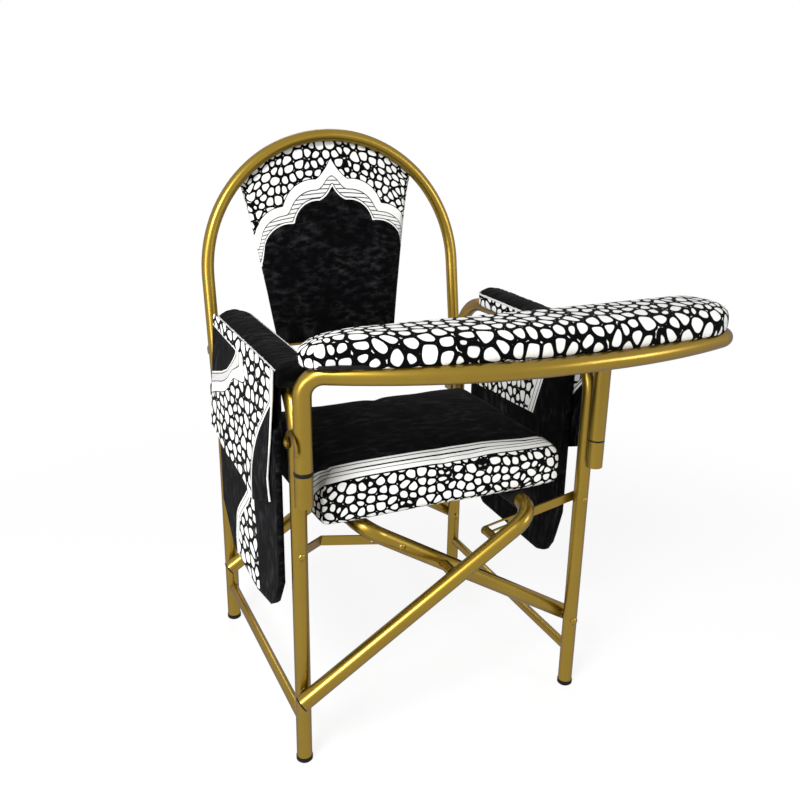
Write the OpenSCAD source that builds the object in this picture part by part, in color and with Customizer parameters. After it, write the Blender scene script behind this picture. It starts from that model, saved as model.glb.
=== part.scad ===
// Folding prayer chair: two bent side frames joined by a sideways scissor of two U tubes,
// a seat cushion on the scissor's rails, a tray that swings round the left front leg and
// an arch back that lifts out of brackets behind the rear legs.
// X is to the right as the chair is looked at from the front, Y to the back, Z up.
// The origin is on the floor, in the middle of the left front foot, which belongs to the
// side frame that stays put while the chair folds.

/* [Side frames] */
// Distance between the two side frames, tube centre to tube centre
frame_w = 480; // [440:5:520]
// Distance from the front legs to the rear legs, centre to centre
frame_d = 430; // [410:5:460]
// Outer diameter of the side frame tube
leg_d = 24; // [22:0.5:25]
// Wall of every bent tube
tube_wall = 1.5; // [1.2:0.1:2]
// Height of the armrest run's centre line over the front leg
arm_front_h = 612; // [604:1:618]
// Height of the armrest run's centre line over the rear leg
arm_rear_h = 599; // [592:1:604]
// Centre line radius of the bend over the front leg
front_bend_r = 75; // [65:5:90]
// Centre line radius of the bend over the rear leg
rear_bend_r = 85; // [70:5:95]
// Height of the rubber foot under the leg's cut end
foot_h = 8; // [6:1:12]
// Height of the lower side bar's centre line
bar_h = 71; // [60:1:90]
// Outer diameter of the lower side bar
bar_d = 16; // [14:1:19]

/* [Cross frames] */
// Outer diameter of the cross tubes
cross_d = 26; // [25:0.5:27]
// Slope of the cross tubes when the chair stands open
open_angle = 32; // [31:0.5:33]
// Height of the lower pivots in the legs
pivot_h = 130; // [125:1:140]
// Distance from the crossing to the seat rail, along the tube
rail_reach = 160; // [155:1:170]
// Centre line radius of the bends into the seat rail
cross_bend_r = 40; // [38:1:46]
// How far a cross tube runs past its lower pivot
cross_tail = 12; // [10:1:16]
// Thickness of the washer between a leg and a cross tube
washer_t = 2; // [1.5:0.1:3]
// Diameter of the pivot pins
pin_d = 8; // [6:0.5:9]
// Radial running clearance of every pin in the piece that turns on it
pin_clear = 0.08; // [0.05:0.01:0.1]

/* [Stay straps] */
// Straps' upper pivots below the seat rails
stay_drop = 8; // [5:0.5:12]
// Distance from the crossing to the strap's stud, along the tube
stay_reach = 85; // [80:1:88]
// Width of the strap
stay_w = 15; // [14:1:18]
// Thickness of the strap
stay_t = 3; // [2:0.5:3]
// Width of the strap's long hole
stay_slot_w = 10; // [10:0.5:11]
// Diameter of the strap's stud and rivet
stay_pin_d = 6; // [5:0.5:6]

/* [Seat] */
// Width of the seat cushion
seat_w = 424; // [400:2:440]
// Depth of the seat cushion
seat_depth = 338; // [320:2:350]
// Distance of the cushion's front behind the front legs' centre
seat_set = 4; // [2:1:14]
// Height of the cushion over its underside at the rim
seat_t = 78; // [60:1:90]
// Extra height of the cushion's crown
seat_crown = 9; // [4:1:14]
// Depth of the crease down the middle
seat_crease = 7; // [0:1:9]
// Thickness of the fabric sleeve round a seat rail
sleeve_t = 1.6; // [1:0.1:2]

/* [Armrests and side bags] */
// Width of the armrest's padded sleeve
arm_w = 56; // [54:1:60]
// Height of the sleeve's underside
pad_low = 608; // [604:1:612]
// Thickness of the sleeve with its padding
pad_t = 32; // [26:1:36]
// Distance of the sleeve's front end ahead of the front legs' centre
arm_nose = 9; // [4:1:10]
// Length of the sleeve
arm_len = 344; // [330:2:356]
// Thickness of the side bag
bag_t = 12; // [11:0.5:13]
// Wall of the side bag's cloth
bag_wall = 2.5; // [2:0.1:2.5]
// Height of the left bag's lower edge
bag_low_left = 231; // [215:1:250]
// Height of the right bag's lower edge
bag_low_right = 188; // [180:1:240]
// Thickness of the flap over the side bag
flap_t = 4; // [3:0.5:5]

/* [Tray] */
// Outer diameter of the tray's tube
tray_d = 26; // [25:0.5:27]
// Height of the tray tube's centre line
tray_h = 632; // [626:1:640]
// How far the front run bows out ahead of the rear run
tray_bow = 97; // [90:1:105]
// Height of the left socket's lower end
socket_low = 444; // [436:1:450]
// Height of the left socket's upper end
socket_top = 490; // [484:1:496]
// Height of the swivel ring on the left socket
ring_h = 6; // [4:0.5:8]
// Height of the right stub's lower end
stub_low = 424; // [416:1:430]
// Height of the right stub's upper end
stub_top = 468; // [460:1:474]
// Thickness of the tray's board
board_t = 5; // [4:0.5:8]
// Thickness of the tray's cushion
tray_pad_t = 34; // [28:1:40]

/* [Back] */
// Outer diameter of the arch's tube
arch_d = 22; // [20:0.5:23]
// Distance between the arch's two posts, centre to centre
arch_w = 484; // [480:1:488]
// Height of the arch's crown, over the tube
arch_top_h = 912; // [880:1:940]
// Height of the posts' lower ends
post_low = 396; // [392:1:400]
// Height where the posts start to lean back
lean_h = 482; // [480:1:490]
// Lean of the arch
lean = 9; // [8:0.5:10]
// Height of the lower bracket's underside
bracket_low = 404; // [402:1:410]
// Height of a bracket
bracket_h = 18; // [14:1:20]
// Distance between the two brackets on a leg, centre to centre
bracket_pitch = 46; // [40:1:48]
// Wall of a bracket
bracket_wall = 2; // [1.5:0.1:2.2]
// Height of the crossbar behind the posts
crossbar_h = 530; // [526:1:534]
// Thickness of the back's padded panel
back_t = 24; // [18:1:28]

/* [Hook] */
// Height of the hook's rivet on the left front leg
hook_h = 529; // [524:1:534]
// Thickness of the hook's strip
hook_t = 2.4; // [2:0.1:2.4]

/* [Hidden] */
leg_r = leg_d / 2;
cross_r = cross_d / 2;
tray_r = tray_d / 2;
arch_r = arch_d / 2;
half_w = frame_w / 2;
front_y = -frame_d / 2;
rear_y = frame_d / 2;
// Offset of a cross tube's centre from the centre of the leg that it laps
lap = leg_r + washer_t + cross_r;
// Distance from a lower pivot to the crossing, along the tube
arm_a = half_w / cos(open_angle);
tube_len = arm_a + rail_reach;
rail_x = tube_len * cos(open_angle) - half_w;
rail_h = pivot_h + tube_len * sin(open_angle);
stay_h = rail_h - stay_drop;
cross_h = pivot_h + arm_a * sin(open_angle);
stay_x = stay_reach * cos(open_angle);
stay_far_h = cross_h + stay_reach * sin(open_angle);
stay_dip = atan2(stay_h - stay_far_h, half_w - stay_x);
stay_len = norm([half_w - stay_x, stay_h - stay_far_h]);
// The least distance from the strap's pivot to its stud on the way to folded
stay_least = stay_len - 37;
gap = 0.3;
bend_step = 0.05;
bend_lap = 0.8;
post_y = front_y - leg_r - washer_t - tray_r;
bush_r = tray_r - tube_wall;
spigot_r = bush_r - 0.1;
seat_low = rail_h + cross_r + sleeve_t + gap;
board_z = tray_h + tray_r + 0.2;
pad_z = board_z + board_t + 0.2;
arch_y = rear_y + leg_r + bracket_wall + gap + arch_r;
arch_spring = (arch_top_h - lean_h) / cos(lean) - arch_w / 2 - arch_r;
arm_side = half_w + arm_w / 2;
bag_x = half_w + leg_r + 4;
flap_x = max(arm_side, bag_x + bag_t) + gap;
// The sleeve stays clear of the tray's board
pad_top = min(pad_low + pad_t, board_z - 3);
$fn = 48;

// Everything below is laid out about the middle of the four feet and then moved so that
// the origin is the middle of the left front foot's underside
module from_foot() {
    translate([half_w, -front_y, 0])
        children();
}

// ---- Bent tube in the XY plane: straight runs between tangent points and true bends

function heading(p, q) = atan2(q[1] - p[1], q[0] - p[0]);
function wrap(a) = a > 180 ? a - 360 : a < -180 ? a + 360 : a;
function turn_at(pts, i) = wrap(heading(pts[i], pts[i + 1]) - heading(pts[i - 1], pts[i]));
function tangent(pts, rads, i) =
    i == 0 || i == len(pts) - 1 ? 0 : rads[i - 1] * tan(abs(turn_at(pts, i)) / 2);

// A straight is drawn a hair thinner than its bends and runs a little into them, so that
// they fuse; start and finish lengthen the two ends
module bent_rod(pts, rads, r, start = 0, finish = 0) {
    last = len(pts) - 2;
    for (i = [0 : last]) {
        h = heading(pts[i], pts[i + 1]);
        t0 = tangent(pts, rads, i);
        t1 = tangent(pts, rads, i + 1);
        before = i == 0 ? start : bend_lap;
        after = i == last ? finish : bend_lap;
        long = norm(pts[i + 1] - pts[i]) - t0 - t1 + before + after;
        translate([pts[i][0] + (t0 - before) * cos(h), pts[i][1] + (t0 - before) * sin(h), 0])
            rotate([0, 0, h])
            rotate([0, 90, 0])
            cylinder(h = long, r = r - bend_step);
    }
    for (i = [1 : last]) {
        h = heading(pts[i - 1], pts[i]);
        turn = turn_at(pts, i);
        side = turn > 0 ? 1 : -1;
        t = tangent(pts, rads, i);
        bend = rads[i - 1];
        translate([pts[i][0] - t * cos(h) - side * bend * sin(h),
                pts[i][1] - t * sin(h) + side * bend * cos(h), 0])
            rotate([0, 0, turn > 0 ? h - 90 : h + 90 + turn])
            rotate_extrude(angle = abs(turn))
            translate([bend, 0])
            circle(r = r);
    }
}

module bent_tube(pts, rads, r) {
    difference() {
        bent_rod(pts, rads, r);
        bent_rod(pts, rads, r - tube_wall, 1, 1);
    }
}

// A rod along Y, from y0 to y1
module rod_y(x, z, y0, y1, r) {
    translate([x, y0, z])
        rotate([-90, 0, 0])
        cylinder(h = y1 - y0, r = r);
}

// A low domed head, its flat side at y, bulging towards side
module dome_y(x, z, y, side, r, h) {
    ball = (r * r + h * h) / (2 * h);
    translate([x, y, z])
        rotate([side > 0 ? -90 : 90, 0, 0])
        rotate_extrude()
        intersection() {
            translate([0, h - ball])
                circle(r = ball);
            square([r + 1, h + 1]);
        }
}

// ---- Side frames

leg_path = [[front_y, foot_h], [front_y, arm_front_h], [rear_y, arm_rear_h], [rear_y, foot_h]];
leg_bends = [front_bend_r, rear_bend_r];

module side_plane(side) {
    translate([side * half_w, 0, 0])
        rotate([90, 0, 90])
        children();
}

module frame_tube(side) {
    difference() {
        side_plane(side)
            bent_tube(leg_path, leg_bends, leg_r);
        for (y = [front_y, rear_y])
            rod_y(side * half_w, pivot_h, y - leg_r - 1, y + leg_r + 1, pin_d / 2 + pin_clear);
        rod_y(side * half_w, stay_h, front_y - leg_r - 1, front_y + leg_r + 1,
            stay_pin_d / 2 + 0.05);
        if (side < 0)
            translate([-half_w - leg_r - 1, front_y, hook_h])
                rotate([0, 90, 0])
                cylinder(h = leg_d + 2, r = hook_rivet_r + 0.05);
    }
}

module side_bar(side) {
    bar_end = leg_r + 0.05;
    difference() {
        rod_y(side * half_w, bar_h, front_y, rear_y, bar_d / 2);
        rod_y(side * half_w, bar_h, front_y - 1, rear_y + 1, bar_d / 2 - 1.2);
        for (y = [front_y, rear_y])
            translate([side * half_w, y, bar_h - bar_d])
                cylinder(h = 2 * bar_d, r = bar_end);
    }
}

module foot(side, y) {
    translate([side * half_w, y, 0]) {
        cylinder(h = 2, r1 = leg_r - 1, r2 = leg_r + 0.8);
        translate([0, 0, 2])
            cylinder(h = foot_h - 2.05, r = leg_r + 0.8);
        translate([0, 0, foot_h - 1])
            cylinder(h = 17, r = leg_r - tube_wall - 0.1);
    }
}

module frame_tube_left() { color("#B8932F") from_foot() frame_tube(-1); }
module frame_tube_right() { color("#B8932F") from_foot() frame_tube(1); }
module side_bar_left() { color("#A8832A") from_foot() side_bar(-1); }
module side_bar_right() { color("#A8832A") from_foot() side_bar(1); }
module foot_front_left() { color("#1A1A1A") from_foot() foot(-1, front_y); }
module foot_rear_left() { color("#1A1A1A") from_foot() foot(-1, rear_y); }
module foot_front_right() { color("#1A1A1A") from_foot() foot(1, front_y); }
module foot_rear_right() { color("#1A1A1A") from_foot() foot(1, rear_y); }

// ---- Cross frames: tube A turns on the left legs' front side, tube B on the right legs' rear side

module on_tube(side) {
    translate([side * half_w, 0, pivot_h])
        mirror([side > 0 ? 1 : 0, 0, 0])
        rotate([0, -open_angle, 0])
        children();
}

function cross_front(side) = front_y + side * lap;
function cross_path(side) = [[-cross_tail, cross_front(side)], [tube_len, cross_front(side)],
    [tube_len, cross_front(side) + frame_d], [-cross_tail, cross_front(side) + frame_d]];

module cross_tube(side) {
    near = pin_d / 2 + (side > 0 ? pin_clear : 0.05);
    difference() {
        on_tube(side)
            bent_tube(cross_path(side), [cross_bend_r, cross_bend_r], cross_r);
        for (y = [cross_front(side), cross_front(side) + frame_d]) {
            face = y - side * cross_r;
            rod_y(side * half_w, pivot_h, min(face, y), max(face, y), pin_d / 2 + 0.05);
            rod_y(0, cross_h, side > 0 ? y - cross_r - 1 : y, y + cross_r + 1, near);
        }
        y = cross_front(side);
        rod_y(-side * stay_x, stay_far_h, side > 0 ? y - cross_r - 1 : y, y + cross_r + 1,
            stay_pin_d / 2 + 0.05);
    }
}

module cross_caps(side) {
    on_tube(side)
        for (y = [cross_front(side), cross_front(side) + frame_d])
            translate([-cross_tail, y, 0])
            rotate([0, 90, 0]) {
                translate([0, 0, -2.5])
                    cylinder(h = 1, r1 = cross_r - 0.8, r2 = cross_r);
                translate([0, 0, -1.5])
                    cylinder(h = 1.45, r = cross_r);
                translate([0, 0, -0.1])
                    cylinder(h = 7.1, r = cross_r - tube_wall - 0.1);
            }
}

// Pins welded into the cross tube's wall that turn in the legs, with a washer and a domed end
module leg_pins(side) {
    for (y = [front_y, rear_y]) {
        rod_y(side * half_w, pivot_h, side > 0 ? y - leg_r - 1 : y - leg_r - washer_t - 4,
            side > 0 ? y + leg_r + washer_t + 4 : y + leg_r + 1, pin_d / 2);
        rod_y(side * half_w, pivot_h, side > 0 ? y + leg_r + 0.1 : y - leg_r - washer_t + 0.1,
            side > 0 ? y + leg_r + washer_t - 0.1 : y - leg_r - 0.1, pin_d / 2 + 5);
        dome_y(side * half_w, pivot_h, y - side * (leg_r + 0.2), -side, pin_d / 2 + 3, 3.5);
    }
}

module crossing_pins() {
    color("#8C6A1E") from_foot()
    for (y = [cross_front(-1), cross_front(-1) + frame_d]) {
        far = y + 2 * lap + cross_r;
        rod_y(0, cross_h, y + cross_r - 4, far + 1, pin_d / 2);
        rod_y(0, cross_h, y + cross_r + 0.1, far - cross_d - 0.2, pin_d / 2 + 4);
        dome_y(0, cross_h, far + 0.2, 1, pin_d / 2 + 3, 3.5);
    }
}

module cross_tube_a() { color("#C9A23A") from_foot() cross_tube(-1); }
module cross_tube_b() { color("#9C7A2A") from_foot() cross_tube(1); }
module cross_caps_a() { color("#1A1A1A") from_foot() cross_caps(-1); }
module cross_caps_b() { color("#1A1A1A") from_foot() cross_caps(1); }
module leg_pins_a() { color("#8C6A1E") from_foot() leg_pins(-1); }
module leg_pins_b() { color("#8C6A1E") from_foot() leg_pins(1); }

// ---- Stay straps: pivoted behind the front legs, with a long hole over a stud on the far tube

stay_near_y = front_y + leg_r + 0.4;
stay_far_left_y = cross_front(1) + cross_r + 0.6;
joggle_start = 16;
joggle_end = 48;

// The strip's edge-on outline, from its leg end to its tube end, far being its offset there
module strap_edge(far) {
    polygon([[-stay_w / 2, 0], [joggle_start, 0], [joggle_end, far],
        [stay_len + stay_w / 2, far], [stay_len + stay_w / 2, far + stay_t],
        [joggle_end - 1, far + stay_t], [joggle_start - 1, stay_t], [-stay_w / 2, stay_t]]);
}

module strap_face() {
    hull() {
        circle(d = stay_w);
        translate([stay_len, 0])
            circle(d = stay_w);
    }
}

module stay_strap(side, far) {
    translate([side * half_w, stay_near_y, stay_h])
        mirror([side > 0 ? 1 : 0, 0, 0])
        rotate([0, stay_dip, 0])
        difference() {
            intersection() {
                translate([0, 0, -stay_w / 2])
                    linear_extrude(height = stay_w)
                    strap_edge(far);
                union() {
                    rod_y(0, 0, -1, far + stay_t + 1, stay_w / 2);
                    translate([0, -1, -stay_w / 2])
                        cube([stay_len, far + stay_t + 2, stay_w]);
                    rod_y(stay_len, 0, -1, far + stay_t + 1, stay_w / 2);
                }
            }
            rod_y(0, 0, -1, stay_t + 1, stay_pin_d / 2 + pin_clear);
            rod_y(stay_len, 0, far - 1, far + stay_t + 1, stay_slot_w / 2);
            rod_y(stay_least, 0, far - 1, far + stay_t + 1, stay_slot_w / 2);
            translate([stay_least, far - 1, -stay_slot_w / 2])
                cube([stay_len - stay_least, stay_t + 2, stay_slot_w]);
        }
}

module stay_strap_left() {
    color("#B8932F") from_foot() stay_strap(-1, stay_far_left_y - stay_near_y);
}
module stay_strap_right() {
    color("#B8932F") from_foot() stay_strap(1, 0);
}

// A rivet through the front leg that the strap turns on
module stay_rivet(side) {
    rod_y(side * half_w, stay_h, front_y - leg_r - 1, stay_near_y + stay_t + 1, stay_pin_d / 2);
    dome_y(side * half_w, stay_h, front_y - leg_r - 0.1, -1, stay_pin_d / 2 + 2.5, 2.5);
    dome_y(side * half_w, stay_h, stay_near_y + stay_t + 0.3, 1, stay_pin_d / 2 + 2.5, 2.5);
}

// The stud on tube A, with a spacer that carries it back to the strap
module stay_stud_a() {
    y = cross_front(-1) + cross_r;
    color("#8C6A1E") from_foot() {
        rod_y(stay_x, stay_far_h, y - 4, stay_near_y + stay_t + 1, stay_pin_d / 2);
        rod_y(stay_x, stay_far_h, y + 0.1, stay_near_y - 0.4, stay_pin_d / 2 + 4);
        dome_y(stay_x, stay_far_h, stay_near_y + stay_t + 0.3, 1, stay_slot_w / 2 + 2.5, 2.5);
    }
}

// The rivet through tube B, with its head in front
module stay_stud_b() {
    y = cross_front(1);
    color("#8C6A1E") from_foot() {
        rod_y(-stay_x, stay_far_h, y - cross_r - 1, stay_far_left_y + stay_t + 1, stay_pin_d / 2);
        dome_y(-stay_x, stay_far_h, y - cross_r - 0.1, -1, stay_pin_d / 2 + 2.5, 2.5);
        dome_y(-stay_x, stay_far_h, stay_far_left_y + stay_t + 0.3, 1, stay_slot_w / 2 + 2.5, 2.5);
    }
}

module stay_rivet_left() { color("#8C6A1E") from_foot() stay_rivet(-1); }
module stay_rivet_right() { color("#8C6A1E") from_foot() stay_rivet(1); }

// ---- Seat: a fabric sleeve on each rail and one soft cushion with a crease down the middle

seat_front = front_y + seat_set;

module rail_sleeve(side) {
    y0 = max(seat_front + 12, cross_front(side) + cross_bend_r + 2);
    y1 = min(seat_front + seat_depth - 8, cross_front(side) + frame_d - cross_bend_r - 2);
    difference() {
        rod_y(-side * rail_x, rail_h, y0, y1, cross_r + sleeve_t);
        rod_y(-side * rail_x, rail_h, y0 - 1, y1 + 1, cross_r + 0.1);
    }
}

module rail_sleeve_a() { color("#151515") from_foot() rail_sleeve(-1); }
module rail_sleeve_b() { color("#151515") from_foot() rail_sleeve(1); }

// Soft block: a top and an underside on the same grid, joined round a bulging waist
// w, d: plan size; low: underside; t: height at the rim; crown: extra height in the middle;
// crease: depth of the fold across the middle; inset: how far the top edge is drawn in
function soft_side(s, n) = let (k = abs(s)) sign(s) * (1 - pow(1 - k, n)) ;
function crown_at(u, v) = pow(1 - pow(abs(u), 2.4), 0.8) * pow(1 - pow(abs(v), 2.6), 0.8);
module soft_block(w, d, low, t, crown, crease, inset, nu, nv) {
    function grid_x(i, in) = soft_side(2 * i / nu - 1, 1.35) * (w / 2 - in);
    function grid_y(j, in) = soft_side(2 * j / nv - 1, 1.35) * (d / 2 - in);
    // Corners are drawn in so that the plan is a rounded rectangle
    function pull(i, j) = pow(abs(2 * i / nu - 1) * abs(2 * j / nv - 1), 6) * 0.05;
    function pt(i, j, in, z) =
        [grid_x(i, in) * (1 - pull(i, j)), grid_y(j, in) * (1 - pull(i, j)), z];
    function top_z(i, j) = low + t + crown * crown_at(2 * i / nu - 1, 2 * j / nv - 1)
        - crease * exp(-pow(grid_x(i, 0) / 9, 2));
    row = nu + 1;
    tops = [for (j = [0 : nv]) for (i = [0 : nu]) pt(i, j, inset, top_z(i, j))];
    lows = [for (j = [0 : nv]) for (i = [0 : nu]) pt(i, j, 9, low)];
    rim = concat([for (i = [0 : nu - 1]) [i, 0]], [for (j = [0 : nv - 1]) [nu, j]],
        [for (i = [nu : -1 : 1]) [i, nv]], [for (j = [nv : -1 : 1]) [0, j]]);
    m = len(rim);
    function ring(in, share) = [for (k = [0 : m - 1])
        pt(rim[k][0], rim[k][1], in, low + (top_z(rim[k][0], rim[k][1]) - low) * share)];
    a = len(tops);
    b = a + len(lows);
    pts = concat(tops, lows, ring(0.8, 0.22), ring(0, 0.55), ring(inset * 0.25, 0.86));
    function at_top(k) = rim[k % m][1] * row + rim[k % m][0];
    function at_low(k) = a + at_top(k);
    function at_ring(r, k) = b + r * m + k % m;
    faces = concat(
        [for (j = [0 : nv - 1]) for (i = [0 : nu - 1])
            each [[j * row + i, (j + 1) * row + i, j * row + i + 1],
                [j * row + i + 1, (j + 1) * row + i, (j + 1) * row + i + 1]]],
        [for (j = [0 : nv - 1]) for (i = [0 : nu - 1])
            each [[a + j * row + i, a + j * row + i + 1, a + (j + 1) * row + i],
                [a + j * row + i + 1, a + (j + 1) * row + i + 1, a + (j + 1) * row + i]]],
        [for (k = [0 : m - 1]) each [[at_low(k), at_ring(0, k), at_low(k + 1)],
            [at_low(k + 1), at_ring(0, k), at_ring(0, k + 1)]]],
        [for (r = [0 : 1]) for (k = [0 : m - 1])
            each [[at_ring(r, k), at_ring(r + 1, k), at_ring(r, k + 1)],
                [at_ring(r, k + 1), at_ring(r + 1, k), at_ring(r + 1, k + 1)]]],
        [for (k = [0 : m - 1]) each [[at_ring(2, k), at_top(k), at_ring(2, k + 1)],
            [at_ring(2, k + 1), at_top(k), at_top(k + 1)]]]);
    polyhedron(points = pts, faces = faces, convexity = 4);
}

module seat_cushion() {
    color("#F0F0EC") from_foot()
    translate([0, seat_front + seat_depth / 2, 0])
        soft_block(seat_w, seat_depth, seat_low, seat_t, seat_crown, seat_crease, 15, 24, 14);
}

// ---- Armrest sleeves: padded, crowned across, round at the rear end

sleeve_front = front_y - arm_nose;
sleeve_rear = sleeve_front + arm_len;

module arm_plan(in) {
    hull()
        for (s = [-1, 1]) {
            translate([s * (arm_w / 2 - 20), sleeve_rear - 20])
                circle(r = 20 - in);
            translate([s * (arm_w / 2 - 9), sleeve_front + 9])
                circle(r = 9 - min(in, 7));
        }
}

// The plan drawn in by the second figure at each height over the underside
module arm_sleeve(side) {
    high = pad_top - pad_low;
    difference() {
        translate([side * half_w, 0, pad_low])
            hull()
            for (s = [[0, 4], [6, 0], [high - 11, 0], [high - 4, 3.5], [high, 10]])
                translate([0, 0, max(0, s[0] - 0.2)])
                linear_extrude(height = 0.2)
                arm_plan(s[1]);
        side_plane(side)
            bent_rod(leg_path, leg_bends, leg_r + 0.2);
    }
}

module arm_sleeve_left() { color("#151515") from_foot() arm_sleeve(-1); }
module arm_sleeve_right() { color("#151515") from_foot() arm_sleeve(1); }

// ---- Side bags: a flat pouch hung under the sleeve, open at its outer top, and its flap

bag_top_out = 545;
bag_fall = 1.3;

// Behind the sleeve the bag's top falls away by bag_fall for each millimetre
function bag_outline(y0, y1, low, in) = let (top = pad_low - gap, shoulder = sleeve_rear - 6) [
    [y0 + in, top],
    [y0 + in, low + 48],
    [y0 + 8 + in * 0.7, low + 34 + in],
    [y0 + 36, low + 20 + in],
    [y0 + 125, low + in],
    [y1 - 66, low + 4 + in],
    [y1 - in, low + 67 + in / 2],
    [y1 - in, top - bag_fall * (y1 - shoulder)],
    [shoulder - in, top]];

module bag_slab(side, x0, t, pts) {
    translate([side > 0 ? x0 : -x0 - t, 0, 0])
        rotate([90, 0, 90])
        linear_extrude(height = t)
        polygon(pts);
}

module side_bag(side, y0, y1, low) {
    difference() {
        bag_slab(side, bag_x, bag_t, bag_outline(y0, y1, low, 0));
        bag_slab(side, bag_x + bag_wall, bag_t - 2 * bag_wall, bag_outline(y0, y1, low, 8));
        translate([side > 0 ? bag_x + bag_wall : -bag_x - bag_t - 1, y0 + 8, bag_top_out])
            cube([bag_t - bag_wall + 1, y1 - y0 - 16, pad_low - bag_top_out]);
    }
}

module side_bag_left() {
    color("#202020") from_foot() side_bag(-1, front_y + 10, sleeve_rear + 10, bag_low_left);
}
module side_bag_right() {
    color("#202020") from_foot() side_bag(1, front_y + 82, rear_y - 18, bag_low_right);
}

// The flap hangs from the sleeve's outer edge, 6 mm below its top, and spreads rearward
flap_set = 4;
flap_low = 390;
flap_low_at = 146;
flap_spread = 56;
function flap_outline(y0, y1) = [
    [y0, pad_top - 6],
    [y0 + 8, pad_top - 50],
    [y0 + 44, flap_low + 72],
    [y0 + 36, flap_low + 40],
    [y0 + flap_low_at, flap_low],
    [y0 + flap_low_at + 22, flap_low + 14],
    [y1 - 80, flap_low + 20],
    [y1, flap_low + 35],
    [y1 - 12, flap_low + 90],
    [y1 - flap_spread + 16, pad_top - 60],
    [y1 - flap_spread, pad_top - 6]];

module side_flap(side, y0, y1) {
    bag_slab(side, flap_x, flap_t, flap_outline(y0, y1));
}

module side_flap_left() {
    color("#E8E8E2") from_foot() side_flap(-1, sleeve_front + flap_set, sleeve_rear - 4 + flap_spread);
}
module side_flap_right() {
    color("#E8E8E2") from_foot() side_flap(1, sleeve_front + flap_set, sleeve_rear - 4 + flap_spread);
}

// ---- Tray

// Tangent corners of the tube's plan: it leaves the left post at a slant, bows out to the
// front, turns back round the right end and returns straight over the right post
tray_slant = 27;
tray_lift = 15.7;
tray_left = [-half_w, post_y];
tray_c1 = tray_left + [tray_bow / tan(tray_slant), -tray_bow];
tray_c2 = [half_w + 55, post_y - tray_bow];
tray_c3 = tray_c2 + 140.5 * [cos(tray_lift), sin(tray_lift)];
tray_mid = (180 + tray_lift) / 2;
tray_c4 = tray_c3 + (post_y - tray_c3[1]) * [1 / tan(tray_mid), 1];
tray_c5 = tray_left + [62, 0];
tray_c6 = tray_left + 57 * [cos(tray_slant), -sin(tray_slant)];
tray_end_r = 16;
corner_r = 30;
tray_plan = [tray_left + corner_r * [cos(tray_slant), -sin(tray_slant)],
    tray_c1, tray_c2, tray_c3, tray_c4, tray_c5, tray_c6];
tray_rads = [(norm(tray_c1 - tray_left) - corner_r - 1) / tan(tray_slant / 2), 800, 33, 33,
    tray_end_r];
post_foot = socket_top + ring_h + gap;

module tray_rod(r, foot) {
    translate([0, 0, tray_h])
        bent_rod(tray_plan, tray_rads, r, bend_lap, -8);
    translate([tray_c6[0], tray_c6[1], tray_h])
        rotate([0, 0, heading(tray_c6, tray_c5)])
        rotate([0, 90, 0])
        cylinder(h = 12, r = r - 0.3);
    translate([-half_w, post_y, 0])
        rotate([0, 0, -tray_slant])
        rotate([90, 0, 0]) {
            translate([corner_r, tray_h - corner_r])
                rotate([0, 0, 90])
                rotate_extrude(angle = 90)
                translate([corner_r, 0])
                circle(r = r);
        }
    translate([-half_w, post_y, post_foot - foot])
        cylinder(h = tray_h - corner_r - post_foot + foot + bend_lap, r = r - bend_step);
}

module tray_tube() {
    color("#C9A23A") from_foot()
    difference() {
        tray_rod(tray_r, 0);
        tray_rod(tray_r - tube_wall, 1);
    }
}

stub_cap_t = 2.5;
right_foot = stub_top + stub_cap_t + gap;

// The right post stands on the stub and is coped round the rear run
module tray_post() {
    color("#B8932F") from_foot()
    difference() {
        translate([half_w, post_y, right_foot])
            cylinder(h = tray_h - right_foot, r = tray_r);
        translate([half_w, post_y, right_foot + 2])
            cylinder(h = tray_h - right_foot, r = tray_r - tube_wall);
        translate([half_w - 20, post_y, tray_h])
            rotate([0, 90, 0])
            cylinder(h = 40, r = tray_r + 0.05);
    }
}

// A sleeve fixed in the left post that turns in the socket
module tray_spigot() {
    color("#8C8C88") from_foot()
    translate([-half_w, post_y, socket_low + 6])
        difference() {
            cylinder(h = post_foot + 24 - socket_low - 6, r = spigot_r);
            translate([0, 0, -1])
                cylinder(h = post_foot + 26 - socket_low, r = spigot_r - 2);
        }
}

// A short tube on the front of a leg, joined to it by a web
module leg_socket(side, low, top, bore) {
    difference() {
        union() {
            translate([side * half_w, post_y, low])
                cylinder(h = top - low, r = tray_r);
            translate([side * half_w - 5, post_y, low + 4])
                cube([10, front_y - post_y, top - low - 8]);
        }
        translate([side * half_w, post_y, low - 1])
            cylinder(h = top - low + 2, r = bore);
        translate([side * half_w, front_y, low - 1])
            cylinder(h = top - low + 2, r = leg_r + 0.05);
    }
}

module tray_socket() {
    color("#B8932F") from_foot() leg_socket(-1, socket_low, socket_top, spigot_r + pin_clear);
}

module swivel_ring() {
    color("#1A1A1A") from_foot()
    translate([-half_w, post_y, socket_top])
        difference() {
            union() {
                cylinder(h = 1, r1 = tray_r, r2 = tray_r + 0.8);
                translate([0, 0, 1])
                    cylinder(h = ring_h - 2, r = tray_r + 0.8);
                translate([0, 0, ring_h - 1])
                    cylinder(h = 1, r1 = tray_r + 0.8, r2 = tray_r);
            }
            translate([0, 0, -1])
                cylinder(h = ring_h + 2, r = spigot_r + pin_clear);
        }
}

module tray_stub() {
    color("#B8932F") from_foot() leg_socket(1, stub_low, stub_top, bush_r);
}

module stub_cap() {
    color("#1A1A1A") from_foot()
    translate([half_w, post_y, stub_top]) {
        cylinder(h = stub_cap_t, r = tray_r);
        translate([0, 0, -10])
            cylinder(h = 10.1, r = bush_r - 0.1);
    }
}

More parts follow.
